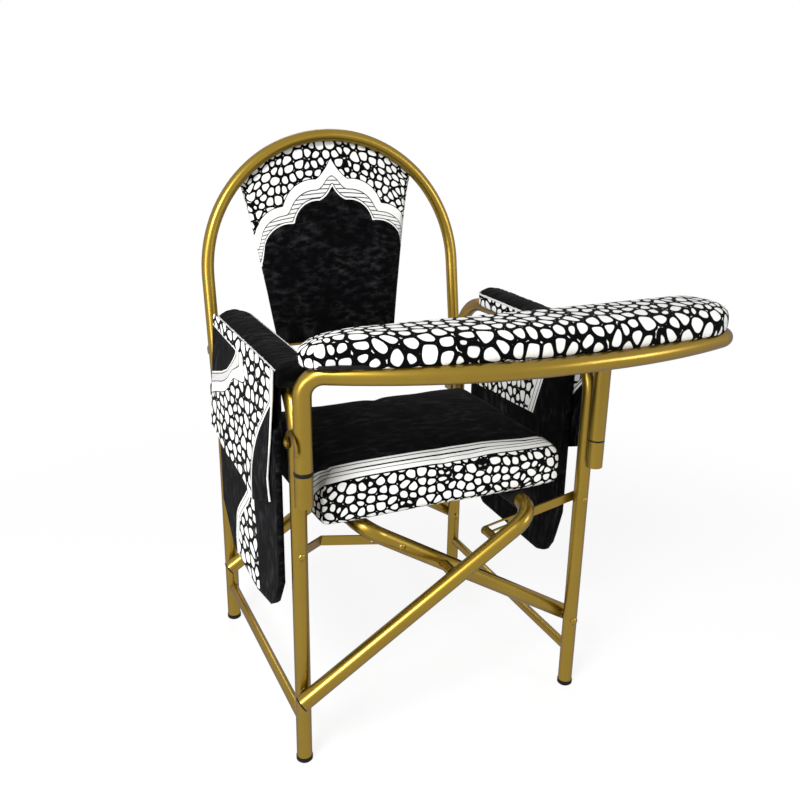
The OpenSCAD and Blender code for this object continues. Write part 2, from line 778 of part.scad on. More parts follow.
// Plan of the board and of the cushion: a straight rear edge and a bowed front, round ends
pad_rear_y = post_y + 33;
pad_front_y = post_y - tray_bow + 3;
pad_mid_x = half_w - 55;
function pad_front_at(x) = pad_front_y + 0.00034 * pow(x - pad_mid_x, 2);

module pad_plan(in) {
    hull() {
        translate([-half_w + 37, pad_rear_y - 37])
            circle(r = 37 - in, $fn = 32);
        translate([half_w + 135, pad_rear_y - 60])
            circle(r = 52 - in, $fn = 32);
        translate([half_w + 110, pad_rear_y - 30])
            circle(r = 30 - in, $fn = 32);
        polygon([for (x = [-half_w + 90 : 40 : half_w + 100]) [x, pad_front_at(x) + in]]);
    }
}

module tray_board() {
    color("#20201E") from_foot()
    translate([0, 0, board_z])
        linear_extrude(height = board_t)
        pad_plan(4);
}

module tray_cushion() {
    color("#F0F0EC") from_foot()
    hull()
        for (s = [[0, 3], [5, 0.4], [14, 0], [22, 3], [29, 9], [32.5, 18], [33.9, 30]])
            translate([0, 0, pad_z + s[0] * tray_pad_t / 34])
            linear_extrude(height = 0.1)
            pad_plan(s[1]);
}

// ---- Hook: a curved strip on a rivet at the outer side of the left front leg

hook_rivet_r = 3;
hook_x = -half_w - leg_r - 1.4;
hook_nose_y = post_y - tray_r + front_y;

module hook() {
    reach = front_y - post_y + tray_r;
    color("#C9A23A") from_foot()
    translate([hook_x - hook_t, front_y, hook_h])
        rotate([90, 0, 90])
        difference() {
            linear_extrude(height = hook_t)
                union() {
                    circle(r = 8);
                    // The strip rises from the rivet, arches forward and drops its nose
                    translate([-reach / 2, 0])
                        difference() {
                            circle(r = reach / 2 + 4);
                            circle(r = reach / 2 - 4);
                            translate([-reach, -2 * reach - 2])
                                square([2 * reach, 2 * reach]);
                        }
                    translate([-reach, -2])
                        circle(r = 4);
                }
            translate([0, 0, -1])
                cylinder(h = hook_t + 2, r = hook_rivet_r + pin_clear);
        }
}

module hook_rivet() {
    color("#8C6A1E") from_foot() {
        translate([hook_x - hook_t - 1, front_y, hook_h])
            rotate([0, 90, 0])
            cylinder(h = leg_d + hook_t + 4, r = hook_rivet_r);
        translate([0, front_y, hook_h])
            rotate([0, 0, 90])
            dome_y(0, 0, -hook_x + hook_t + 0.2, 1, 6, 2.5);
        translate([hook_x + 0.2, front_y, hook_h])
            rotate([0, 90, 0])
            cylinder(h = 1, r = 5);
    }
}

// ---- Arch back

// A bracket is a channel that opens outwards, with a pad that seats on the leg
module brackets(side) {
    open_x = arch_w / 2 - half_w;
    inner = arch_r + gap;
    outer = inner + bracket_wall;
    translate([side * half_w, 0, 0])
        mirror([side < 0 ? 1 : 0, 0, 0])
        for (z = [bracket_low, bracket_low + bracket_pitch])
            translate([open_x, arch_y, z])
            difference() {
                union() {
                    translate([-outer, -outer, 0])
                        cube([outer + inner, 2 * outer, bracket_h]);
                    translate([-open_x - 6, -outer - 2, 3])
                        cube([12, 4, bracket_h - 6]);
                }
                translate([-inner, -inner, -1])
                    cube([2 * outer + inner, 2 * inner, bracket_h + 2]);
                translate([-open_x, rear_y - arch_y, -1])
                    cylinder(h = bracket_h + 2, r = leg_r + 0.05);
            }
}

module back_brackets_left() { color("#8C6A1E") from_foot() brackets(-1); }
module back_brackets_right() { color("#8C6A1E") from_foot() brackets(1); }

module lean_frame() {
    translate([0, arch_y, lean_h])
        rotate([-lean, 0, 0])
        children();
}

lean_bend_r = 60;
lean_run = lean_bend_r * tan(lean / 2);

// The posts end inside the collars, where the arch is set on them
post_top = bracket_low + bracket_pitch + bracket_h + 2.5;

// A slight bend and, in the leaning plane, two straights and a half circle
module arch_rod(r, extra) {
    for (s = [-1, 1]) {
        translate([s * arch_w / 2, arch_y, post_top - extra])
            cylinder(h = lean_h - lean_run - post_top + extra + bend_lap, r = r - bend_step);
        translate([s * arch_w / 2, arch_y + lean_bend_r, lean_h - lean_run])
            rotate([0, -90, 0])
            rotate([0, 0, -90])
            rotate_extrude(angle = lean)
            translate([lean_bend_r, 0])
            circle(r = r);
        lean_frame()
            translate([s * arch_w / 2, 0, lean_run - bend_lap])
            cylinder(h = arch_spring - lean_run + 2 * bend_lap, r = r - bend_step);
    }
    lean_frame()
        translate([0, 0, arch_spring])
        rotate([90, 0, 0])
        rotate_extrude(angle = 180)
        translate([arch_w / 2, 0])
        circle(r = r);
}

module arch_tube() {
    color("#C9A23A") from_foot()
    difference() {
        arch_rod(arch_r, 0);
        arch_rod(arch_r - tube_wall, 1);
    }
}

module arch_posts() {
    color("#C9A23A") from_foot()
    for (s = [-1, 1])
        translate([s * arch_w / 2, arch_y, post_low])
            difference() {
                cylinder(h = post_top - post_low, r = arch_r - bend_step);
                translate([0, 0, -1])
                    cylinder(h = post_top - post_low + 2, r = arch_r - tube_wall - bend_step);
            }
}

module arch_caps() {
    color("#1A1A1A") from_foot()
    for (s = [-1, 1])
        translate([s * arch_w / 2, arch_y, post_low]) {
            translate([0, 0, -2.5])
                cylinder(h = 2.45, r1 = arch_r - 1, r2 = arch_r);
            translate([0, 0, -0.1])
                cylinder(h = 12, r = arch_r - tube_wall - bend_step - 0.05);
        }
}

// Rings on the posts that rest on the upper brackets and carry the back
module arch_collars() {
    color("#1A1A1A") from_foot()
    for (s = [-1, 1])
        translate([s * arch_w / 2, arch_y, bracket_low + bracket_pitch + bracket_h])
            difference() {
                cylinder(h = 5, r = arch_r + bracket_wall);
                translate([0, 0, -1])
                    cylinder(h = 7, r = arch_r + 0.05);
            }
}

crossbar_r = 8;
crossbar_y = arch_y + (crossbar_h - lean_h) * tan(lean) + (arch_r + crossbar_r) / cos(lean) + 0.1;

module arch_crossbar() {
    color("#9C7A2A") from_foot()
    translate([-arch_w / 2 - 8, crossbar_y, crossbar_h])
        rotate([0, 90, 0])
        cylinder(h = arch_w + 16, r = crossbar_r);
}

// The padded panel lies behind the arch's plane, its top edge behind the tube
back_low_h = crossbar_h + crossbar_r + 3;
back_low = (back_low_h - lean_h) / cos(lean) + 2;
back_off = 20;
back_corner = 171;
back_foot = 118;

function back_top_edge(in) =
    let (r = arch_w / 2 + 4 - in, a = acos((back_corner - in) / r))
    [for (k = [0 : 16]) let (t = a + (180 - 2 * a) * k / 16)
        [r * cos(t), arch_spring + r * sin(t)]];

module back_plan(in) {
    polygon(concat([[back_foot - in, back_low + in]], back_top_edge(in),
        [[-back_foot + in, back_low + in]]));
}

module back_cushion() {
    color("#202020") from_foot()
    lean_frame()
        translate([0, back_off + back_t / 2, 0])
        rotate([90, 0, 0])
        hull()
            for (s = [[0, 9], [4, 2], [9, 0], [15, 0], [20, 3], [24, 14]])
                translate([0, 0, s[0] * back_t / 24 - 0.05])
                linear_extrude(height = 0.1)
                back_plan(s[1]);
}

frame_tube_left();
frame_tube_right();
side_bar_left();
side_bar_right();
foot_front_left();
foot_rear_left();
foot_front_right();
foot_rear_right();
cross_tube_a();
cross_tube_b();
cross_caps_a();
cross_caps_b();
leg_pins_a();
leg_pins_b();
crossing_pins();
stay_stud_a();
stay_stud_b();
stay_rivet_left();
stay_rivet_right();
stay_strap_left();
stay_strap_right();
rail_sleeve_a();
rail_sleeve_b();
seat_cushion();
arm_sleeve_left();
arm_sleeve_right();
side_bag_left();
side_bag_right();
side_flap_left();
side_flap_right();
tray_socket();
swivel_ring();
tray_stub();
stub_cap();
tray_tube();
tray_post();
tray_spigot();
tray_board();
tray_cushion();
hook();
hook_rivet();
back_brackets_left();
back_brackets_right();
arch_tube();
arch_posts();
arch_caps();
arch_collars();
arch_crossbar();
back_cushion();
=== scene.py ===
# %% [markdown]
# # Folding prayer chair: gold tube, black velvet and a pebble print
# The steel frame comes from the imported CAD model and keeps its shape. Here it gets its paint, and
# every soft part is made anew over its plain CAD solid: seat, back, armrests, side bags, flaps and
# the tray's pad. All lengths below are written in millimetres and turned into metres once.

# %% Load the frame
import math

import bmesh
import bpy
import numpy as np
from mathutils import Matrix, Vector, noise


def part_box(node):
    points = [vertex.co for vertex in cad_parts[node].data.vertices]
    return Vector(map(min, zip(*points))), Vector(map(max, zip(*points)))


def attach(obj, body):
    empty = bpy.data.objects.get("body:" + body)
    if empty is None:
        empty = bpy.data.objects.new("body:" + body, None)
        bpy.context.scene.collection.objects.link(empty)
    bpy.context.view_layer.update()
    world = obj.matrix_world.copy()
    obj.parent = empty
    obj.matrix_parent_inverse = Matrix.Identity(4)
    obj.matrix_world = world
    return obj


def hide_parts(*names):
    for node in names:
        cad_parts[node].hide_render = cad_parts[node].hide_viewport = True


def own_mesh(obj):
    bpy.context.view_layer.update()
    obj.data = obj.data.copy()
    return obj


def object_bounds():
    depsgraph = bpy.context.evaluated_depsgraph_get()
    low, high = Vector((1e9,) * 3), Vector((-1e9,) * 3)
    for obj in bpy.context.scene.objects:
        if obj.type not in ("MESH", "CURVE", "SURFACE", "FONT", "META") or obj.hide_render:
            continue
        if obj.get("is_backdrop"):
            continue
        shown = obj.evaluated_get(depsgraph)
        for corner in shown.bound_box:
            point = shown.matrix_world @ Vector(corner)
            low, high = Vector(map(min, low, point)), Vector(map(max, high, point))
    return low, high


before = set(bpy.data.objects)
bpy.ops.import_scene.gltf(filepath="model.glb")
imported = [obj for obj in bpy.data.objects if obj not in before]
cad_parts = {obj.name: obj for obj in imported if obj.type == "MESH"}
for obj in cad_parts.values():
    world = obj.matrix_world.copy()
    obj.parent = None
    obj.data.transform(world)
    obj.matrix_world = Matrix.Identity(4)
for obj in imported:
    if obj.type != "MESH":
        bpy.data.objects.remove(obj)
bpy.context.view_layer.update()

# %% [markdown]
# ## The camera
# A photograph is matched by placing the camera where the photographer stood. Its place and its
# angles were found from the four feet, the side bars, the arms and the arch.

# %% Place the camera
def view_camera(place_mm, yaw, pitch, roll, focal_px):
    ahead = Vector((math.sin(yaw) * math.cos(pitch), math.cos(yaw) * math.cos(pitch),
                    -math.sin(pitch)))
    right = Vector((math.cos(yaw), -math.sin(yaw), 0))
    down = ahead.cross(right)
    right, down = (math.cos(roll) * right + math.sin(roll) * down,
                   math.cos(roll) * down - math.sin(roll) * right)
    data = bpy.data.cameras.new("view")
    data.sensor_width = 36
    data.lens = 36 * focal_px / 800
    data.clip_end = 50
    camera = bpy.data.objects.new("view", data)
    turn = Matrix((right, -down, -ahead)).transposed().to_4x4()
    camera.matrix_world = Matrix.Translation(Vector(place_mm) / 1000) @ turn
    bpy.context.collection.objects.link(camera)
    bpy.context.scene.camera = camera


view_camera((-344, -1085.7, 985), 0.4296, 0.3355, -0.015, 896.5)

# %% [markdown]
# ## Small helpers for colour and nodes
# Colours are written as they look on a screen, so each is turned to linear light before a node
# gets it. One function adds a node, sets its inputs by name and links them.

# %% Colour and node helpers
def colour(text):
    parts = [int(text[i:i + 2], 16) / 255 for i in (1, 3, 5)]
    return (*[p / 12.92 if p <= 0.04045 else ((p + 0.055) / 1.055) ** 2.4 for p in parts], 1.0)


def add(tree, kind, settings=None, links=None):
    node = tree.nodes.new(kind)
    for key, value in (settings or {}).items():
        if isinstance(key, int) or key in node.inputs:
            node.inputs[key].default_value = value
        else:
            setattr(node, key, value)
    for key, source in (links or {}).items():
        tree.links.new(source, node.inputs[key])
    return node


def new_material(name):
    material = bpy.data.materials.new(name)
    material.use_nodes = True
    tree = material.node_tree
    return material, tree, tree.nodes["Principled BSDF"]


def feed(tree, node, values):
    """Gives each input a link from another node, or a plain value."""
    for slot, value in values.items():
        if hasattr(value, "is_linked"):
            tree.links.new(value, node.inputs[slot])
        else:
            node.inputs[slot].default_value = value


def maths(tree, operation, a, b):
    node = add(tree, "ShaderNodeMath", {"operation": operation})
    feed(tree, node, {0: a, 1: b})
    return node.outputs[0]


def scaled(tree, value, factor, offset):
    return add(tree, "ShaderNodeMath", {"operation": "MULTIPLY_ADD", 1: factor, 2: offset},
               {0: value}).outputs[0]


def blend_colours(tree, share, low, high):
    node = add(tree, "ShaderNodeMix", {"data_type": "RGBA"})
    feed(tree, node, {0: share, 6: low, 7: high})
    return node.outputs[2]


def edge(tree, value, low, high):
    """A soft step from 0 at low to 1 at high; with low above high it falls."""
    node = add(tree, "ShaderNodeMapRange", {"interpolation_type": "SMOOTHSTEP", 1: low, 2: high},
               {0: value})
    return node.outputs[0]


def hard_bars(tree, share, stops):
    """Black and white bars without a blend; each stop is a place from 0 to 1 and 0 or 1."""
    node = add(tree, "ShaderNodeValToRGB", {}, {0: share})
    node.color_ramp.interpolation = "CONSTANT"
    elements = node.color_ramp.elements
    while len(elements) < len(stops):
        elements.new(0.5)
    for element, (at, white) in zip(elements, stops):
        element.position = at
        element.color = (white, white, white, 1)
    return node.outputs[0]


def object_place(tree):
    return add(tree, "ShaderNodeTexCoord").outputs["Object"]


def cloth_place(tree):
    return add(tree, "ShaderNodeUVMap", {"uv_map": "cloth"}).outputs[0]


def stored(tree, name):
    """A number that the mesh keeps for each of its points."""
    return add(tree, "ShaderNodeAttribute", {"attribute_name": name}).outputs["Fac"]


# %% [markdown]
# ## Gold paint on steel
# The tubes are sprayed with a gold metallic paint under a thin clear coat. Fine flakes make it
# act mostly as metal, and sprayed paint dries with a faint orange peel. A metallic shader with
# some roughness gives the broad pale streak along each tube.

# %% Paint the steel
def gold_paint():
    material, tree, bsdf = new_material("gold_metallic_paint")
    place = object_place(tree)
    cloud = add(tree, "ShaderNodeTexNoise", {"Scale": 9.0, "Detail": 3.0}, {"Vector": place})
    base = blend_colours(tree, cloud.outputs[0], colour("#7E6515"), colour("#93781F"))
    tree.links.new(base, bsdf.inputs["Base Color"])
    bsdf.inputs["Metallic"].default_value = 0.9
    # A dark edge tint darkens the tubes towards their sides: painted shade, standing in for darker
    # surroundings that the metal would mirror there
    bsdf.inputs["Specular Tint"].default_value = colour("#4E4016")
    # Flakes a tenth of a millimetre wide would not show, so they are drawn at about 0.8 mm
    flakes = add(tree, "ShaderNodeTexNoise", {"Scale": 1250.0, "Detail": 1.0}, {"Vector": place})
    rough = scaled(tree, flakes.outputs[0], 0.05, 0.28)
    tree.links.new(rough, bsdf.inputs["Roughness"])
    peel = add(tree, "ShaderNodeTexNoise", {"Scale": 260.0, "Detail": 2.0}, {"Vector": place})
    bump = add(tree, "ShaderNodeBump", {"Strength": 0.06, "Distance": 0.0006},
               {"Height": peel.outputs[0]})
    tree.links.new(bump.outputs[0], bsdf.inputs["Normal"])
    bsdf.inputs["Coat Weight"].default_value = 0.5
    bsdf.inputs["Coat Roughness"].default_value = 0.24
    return material


def plain_plastic(name, tint, roughness, grain_mm):
    material, tree, bsdf = new_material(name)
    place = object_place(tree)
    grain = add(tree, "ShaderNodeTexNoise", {"Scale": 1000 / grain_mm, "Detail": 2.0},
                {"Vector": place})
    worn = blend_colours(tree, grain.outputs[0], colour(tint), colour("#181818"))
    tree.links.new(worn, bsdf.inputs["Base Color"])
    bsdf.inputs["Roughness"].default_value = roughness
    bsdf.inputs["Specular IOR Level"].default_value = 0.1
    bump = add(tree, "ShaderNodeBump", {"Strength": 0.15, "Distance": 0.0004},
               {"Height": grain.outputs[0]})
    tree.links.new(bump.outputs[0], bsdf.inputs["Normal"])
    return material


gold = gold_paint()
rubber = plain_plastic("moulded_black_rubber", "#0B0B0B", 0.62, 1.2)
nylon = plain_plastic("moulded_black_nylon", "#0D0D0E", 0.4, 0.8)
painted = ["frame_tube_left", "frame_tube_right", "side_bar_left", "side_bar_right",
           "cross_tube_a", "cross_tube_b", "stay_strap_left", "stay_strap_right",
           "tray_socket", "tray_stub", "tray_tube", "tray_post", "hook", "hook_rivet",
           "back_brackets_left", "back_brackets_right", "arch_tube", "arch_posts",
           "arch_crossbar",
           "leg_pins_a", "leg_pins_b", "crossing_pins", "stay_stud_a", "stay_stud_b",
           "stay_rivet_left", "stay_rivet_right", "tray_spigot"]
moulded = ["cross_caps_a", "cross_caps_b", "arch_caps", "arch_collars", "stub_cap", "swivel_ring"]
feet = ["foot_front_left", "foot_rear_left", "foot_front_right", "foot_rear_right"]
for names, material in ((painted, gold), (moulded, nylon), (feet, rubber)):
    for name in names:
        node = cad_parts[name]
        node.data.materials.clear()
        node.data.materials.append(material)
print(len(painted), "steel pieces painted")

# %% [markdown]
# ## Black crushed velvet
# Velvet is a pile of short upright threads. Where the pile is pressed over, it catches the light,
# so crushed velvet shows faint streaks that run across the nap. The sheen layer of the shader
# brightens it a little towards the edges.
#
# The pebble print needs no picture. A Voronoi texture gives the distance to the nearest of many
# scattered points. Its smooth version gives less where two cells meet, so the difference of the
# two marks the joints between cells.

# %% Velvet and the printed pebbles
def velvet_look(tree, place, dark="#020203", light="#303032"):
    """Colour and height of black crushed velvet; place is in metres."""
    drawn = add(tree, "ShaderNodeMapping", {"Scale": (36, 80, 80)}, {"Vector": place})
    streak = add(tree, "ShaderNodeTexNoise", {"Scale": 1.0, "Detail": 5.0, "Roughness": 0.62},
                 {"Vector": drawn.outputs[0]})
    cloud = add(tree, "ShaderNodeTexNoise", {"Scale": 14.0, "Detail": 2.0}, {"Vector": place})
    crushed = edge(tree, streak.outputs[0], 0.42, 0.78)
    patch = edge(tree, cloud.outputs[0], 0.3, 0.7)
    share = maths(tree, "MULTIPLY", crushed, patch)
    return blend_colours(tree, share, colour(dark), colour(light)), streak.outputs[0]


def pebble_mask(tree, place, cell_mm, long=1.0):
    """White pebbles of mixed sizes with a black net between them: 1 is white."""
    # A value of long above 1 draws the pebbles out along the cloth's first direction
    laid = add(tree, "ShaderNodeMapping", {"Scale": (1 / long, 1, 1)}, {"Vector": place})
    bent = add(tree, "ShaderNodeTexNoise", {"Scale": 420 / cell_mm, "Detail": 1.0},
               {"Vector": laid.outputs[0]})
    shift = add(tree, "ShaderNodeVectorMath",
                {"operation": "SCALE", "Scale": 0.22 * cell_mm / 1000}, {0: bent.outputs[1]})
    moved = add(tree, "ShaderNodeVectorMath", {"operation": "ADD"},
                {0: laid.outputs[0], 1: shift.outputs[0]}).outputs[0]
    setup = {"voronoi_dimensions": "2D", "Scale": 1000 / cell_mm, "Randomness": 0.84}
    near = add(tree, "ShaderNodeTexVoronoi", {**setup, "feature": "F1"}, {"Vector": moved})
    soft = add(tree, "ShaderNodeTexVoronoi", {**setup, "feature": "SMOOTH_F1", "Smoothness": 1.0},
               {"Vector": moved})
    # The two distances part where cells meet: a little along edges, most in the corners.
    # So one limit leaves round pebbles, and a higher one leaves a small bit in each wide corner
    parted = maths(tree, "SUBTRACT", near.outputs["Distance"], soft.outputs["Distance"])
    pebbles = edge(tree, parted, 0.038, 0.024)
    bits = edge(tree, parted, 0.186, 0.2)
    return maths(tree, "MAXIMUM", pebbles, bits)


def fabric_surface(tree, bsdf, tint, height, bump=0.35):
    """Colour, sheen and a fine pile or weave on a cloth shader."""
    tree.links.new(tint, bsdf.inputs["Base Color"])
    bsdf.inputs["Roughness"].default_value = 0.86
    bsdf.inputs["Specular IOR Level"].default_value = 0.04
    bsdf.inputs["Sheen Weight"].default_value = 0.025
    bsdf.inputs["Sheen Roughness"].default_value = 0.4
    bsdf.inputs["Sheen Tint"].default_value = colour("#9A9AA2")
    node = add(tree, "ShaderNodeBump", {"Strength": bump, "Distance": 0.0012}, {"Height": height})
    tree.links.new(node.outputs[0], bsdf.inputs["Normal"])


def bands(period_mm):
    """The wave texture's scale for bands of that period; it counts 20 radians to a unit."""
    return 2 * math.pi / 20 * 1000 / period_mm


def cloth_weave(tree, place, thread_mm=1.1):
    """Fine knit of the printed cloth: two crossed waves, drawn coarse enough to show."""
    waves = []
    for axis in ("X", "Y"):
        waves.append(add(tree, "ShaderNodeTexWave",
                         {"bands_direction": axis, "Scale": bands(thread_mm),
                          "Distortion": 0.4}, {"Vector": place}).outputs[1])
    return maths(tree, "MULTIPLY", waves[0], waves[1])


INK = colour("#040405")
CHALK = colour("#E0E0DD")


def pebble_cloth(name, cell_mm):
    material, tree, bsdf = new_material(name)
    place = cloth_place(tree)
    mask = pebble_mask(tree, place, cell_mm)
    fabric_surface(tree, bsdf, blend_colours(tree, mask, INK, CHALK), cloth_weave(tree, place))
    return material


def velvet_cloth(name):
    material, tree, bsdf = new_material(name)
    place = cloth_place(tree)
    tint, height = velvet_look(tree, place)
    fabric_surface(tree, bsdf, tint, height, bump=0.5)
    return material


black_velvet = velvet_cloth("crushed_black_velvet")
tray_print = pebble_cloth("pebble_print_tray", 20)

# %% [markdown]
# ## A block that unfolds like cloth
# Every cushion starts as a box of small quads. Before the box is bent to its shape, each face gets
# its place on the flat cloth, so the print runs over the edges as one piece of cloth does.

# %% Block helper
def unrolled(depth, height, upper, lower):
    """Length of cloth from the top's edge down a side whose rims are rounded by two radii."""
    if depth < upper:
        return upper * math.acos(1 - depth / upper)
    straight = min(depth, height - lower) - upper
    rest = max(0.0, depth - (height - lower))
    below = lower * math.asin(min(1.0, rest / lower)) if rest else 0
    return upper * math.pi / 2 + straight + below


def cloth_block(name, size_mm, step_mm, shape, finish, rims=(0.0, 0.0)):
    """A subdivided box, unfolded, then bent by shape(a, b, c), which gives millimetres."""
    mesh = bmesh.new()
    bmesh.ops.create_cube(mesh, size=2)
    for axis in range(3):
        along = [e for e in mesh.edges
                 if abs(abs(e.verts[0].co[axis] - e.verts[1].co[axis]) - 2) < 1e-4]
        cuts = max(1, round(size_mm[axis] / step_mm[axis]) - 1)
        bmesh.ops.subdivide_edges(mesh, edges=along, cuts=cuts, use_grid_fill=True)
    layer = mesh.loops.layers.uv.new("cloth")
    w, d, h = size_mm[0] / 2 - rims[0], size_mm[1] / 2 - rims[0], size_mm[2]
    for face in mesh.faces:
        centre = face.calc_center_median()
        axis = max(range(3), key=lambda i: abs(centre[i]))
        for loop in face.loops:
            a, b, c = loop.vert.co
            x, y, z = a * w, b * d, unrolled((1 - c) / 2 * h, h, *rims)
            if axis == 0:
                x = math.copysign(w + z, centre[0])
            elif axis == 1:
                y = math.copysign(d + z, centre[1])
            loop[layer].uv = (x / 1000, y / 1000)
        face.smooth = True
    for vert in mesh.verts:
        vert.co = Vector(shape(*vert.co)) / 1000
    bmesh.ops.recalc_face_normals(mesh, faces=mesh.faces)
    data = bpy.data.meshes.new(name)
    mesh.to_mesh(data)
    mesh.free()
    piece = bpy.data.objects.new(name, data)
    bpy.context.collection.objects.link(piece)
    data.materials.append(finish)
    return piece


def store(piece, name, values):
    """Keeps a number for each point on the mesh, where a material can read it."""
    layer = piece.data.attributes.new(name, "FLOAT", "POINT")
    layer.data.foreach_set("value", np.asarray(values, np.float32))


def rounding(c, radius, height):
    """How far the side is drawn in at c of the height, -1 to 1, for a rim of that radius."""
    depth = (1 - abs(c)) * height / 2
    if depth >= radius:
        return 0.0
    return radius - math.sqrt(max(0.0, radius ** 2 - (radius - depth) ** 2))


def rim_inset(c, rims, height):
    """The same for a block whose upper and lower rims have radii of their own."""
    return rounding(c, rims[0] if c > 0 else rims[1], height)


def softened(piece):
    sub = piece.modifiers.new("soft", "SUBSURF")
    sub.levels = sub.render_levels = 1


# %% [markdown]
# ## Filling a cushion
# Foam swells its cover between the seams. A short cloth simulation with air pressure and no
# gravity does the same: it rounds the faces and leaves small wrinkles along the edges. The move of
# each point is capped, so the cushion stays in its place.

# %% Pressure simulation
FOAM_FRAMES = 20


def fill_with_foam(piece, pressure, cap_mm, stiffness=18):
    scene = bpy.context.scene
    cloth = piece.modifiers.new("filling", "CLOTH")
    settings = cloth.settings
    settings.quality = 5
    settings.mass = 0.35
    settings.use_pressure = True
    settings.uniform_pressure_force = pressure
    settings.tension_stiffness = settings.compression_stiffness = stiffness
    settings.shear_stiffness = stiffness / 2
    settings.bending_stiffness = 0.6
    settings.effector_weights.gravity = 0
    cloth.point_cache.frame_start = 1
    cloth.point_cache.frame_end = FOAM_FRAMES
    for step in range(1, FOAM_FRAMES + 1):
        scene.frame_set(step)
    posed = piece.evaluated_get(bpy.context.evaluated_depsgraph_get())
    ends = [v.co.copy() for v in posed.data.vertices]
    piece.modifiers.remove(cloth)
    most = 0.0
    for vert, end in zip(piece.data.vertices, ends):
        move = end - vert.co
        most = max(most, move.length)
        if move.length > cap_mm / 1000:
            move *= cap_mm / 1000 / move.length
        vert.co += move
    scene.frame_set(1)
    print(piece.name, "swelled up to", round(most * 1000, 1), "mm")


# %% [markdown]
# ## The seat
# One foam cushion lies on both rails. Its top is velvet; along the front edge runs a band of
# four white stripes with thin black lines between them, and the front face carries the pebble
# print. Each point stores how far it lies into the band, from 0 at the print to 1 at the velvet.

# %% Seat cushion
seat_low, seat_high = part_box("seat_cushion")
SEAT_X = (seat_low[0] + seat_high[0]) * 500
SEAT_Y = (seat_low[1] + seat_high[1]) * 500
SEAT_W = (seat_high[0] - seat_low[0]) * 1000 - 8
SEAT_D = (seat_high[1] - seat_low[1]) * 1000 - 8
SEAT_Z = seat_low[2] * 1000
SEAT_H = 76
SEAT_RIMS = (26, 14)
STRIPE_STOPS = [(0.0, 0), (0.06, 1), (0.32, 0), (0.36, 1), (0.55, 0), (0.6, 1), (0.76, 0),
                (0.81, 1), (0.93, 0)]


def seat_shape(a, b, c):
    top = (c + 1) / 2
    inset = rim_inset(c, SEAT_RIMS, SEAT_H)
    corner = 0.5 * (a * b) ** 6
    x = a * (SEAT_W / 2 - inset) * (1 - 0.035 * corner)
    y = b * (SEAT_D / 2 - inset) * (1 - 0.035 * corner)
    crown = 9 * (1 - a ** 4) * (1 - abs(b) ** 5) * top
    crease = 1.5 * math.exp(-(x / 11) ** 2) * top
    z = SEAT_Z + SEAT_H * top + crown - crease
    ripple = noise.noise(Vector((x / 46, y / 60, 3.1))) * 1.6 * top
    return SEAT_X + x, SEAT_Y + y, z + ripple


def seat_cloth():
    material, tree, bsdf = new_material("seat_print")
    place = cloth_place(tree)
    into = stored(tree, "off_front")
    velvet, pile = velvet_look(tree, place)
    band = blend_colours(tree, hard_bars(tree, into, STRIPE_STOPS), INK, CHALK)
    pebbles = blend_colours(tree, pebble_mask(tree, place, 14.5), INK, CHALK)
    on_band = edge(tree, into, 0.92, 0.94)
    off_print = edge(tree, into, -0.01, 0.01)
    tint = blend_colours(tree, off_print, pebbles, blend_colours(tree, on_band, band, velvet))
    fabric_surface(tree, bsdf, tint, pile, bump=0.4)
    return material


seat = cloth_block("seat_pad", (SEAT_W, SEAT_D, SEAT_H), (7, 7, 7), seat_shape, seat_cloth(),
                   rims=SEAT_RIMS)
# The band of stripes runs from a line high on the front face to one on the top; both bow a
# little. The way between them leads over the cushion's upper front edge
LINE_X = [26, 102, 205, 318, 386]
TOP_Y = [46, 49, 49, 46, 37]
FACE_Z = [455, 459, 459, 462, 459]
EDGE_Y, EDGE_Z = 4, 462


def into_band(place):
    x, y, z = place * 1000
    start = float(np.interp(x, LINE_X, FACE_Z))
    whole = float(np.interp(x, LINE_X, TOP_Y)) - EDGE_Y + EDGE_Z - start
    return (y - EDGE_Y + z - start) / whole


store(seat, "off_front", [into_band(vert.co) for vert in seat.data.vertices])
fill_with_foam(seat, 3.0, 4)
softened(seat)
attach(seat, "seat")
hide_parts("seat_cushion")
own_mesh(seat)

# %% [markdown]
# ## The tray's pad
# The tray's board carries a long foam pad with a straight rear edge, a bowed front edge and round
# ends. Its cover is stretched tight, so the print is squeezed together towards the ends.

# %% Tray pad
PAD_LEFT, PAD_RIGHT, PAD_REAR = -5.0, 668.0, 6.0
PAD_Z = 650.4
PAD_H = 31.0
PAD_RIMS = (17, 6)
END_LEFT, END_RIGHT = 44, 62
FRONT_X = [-5, 30, 94, 140, 230, 320, 410, 520, 600, 668]
FRONT_Y = [-50, -58, -84, -94, -107, -116, -121, -120, -116, -114]


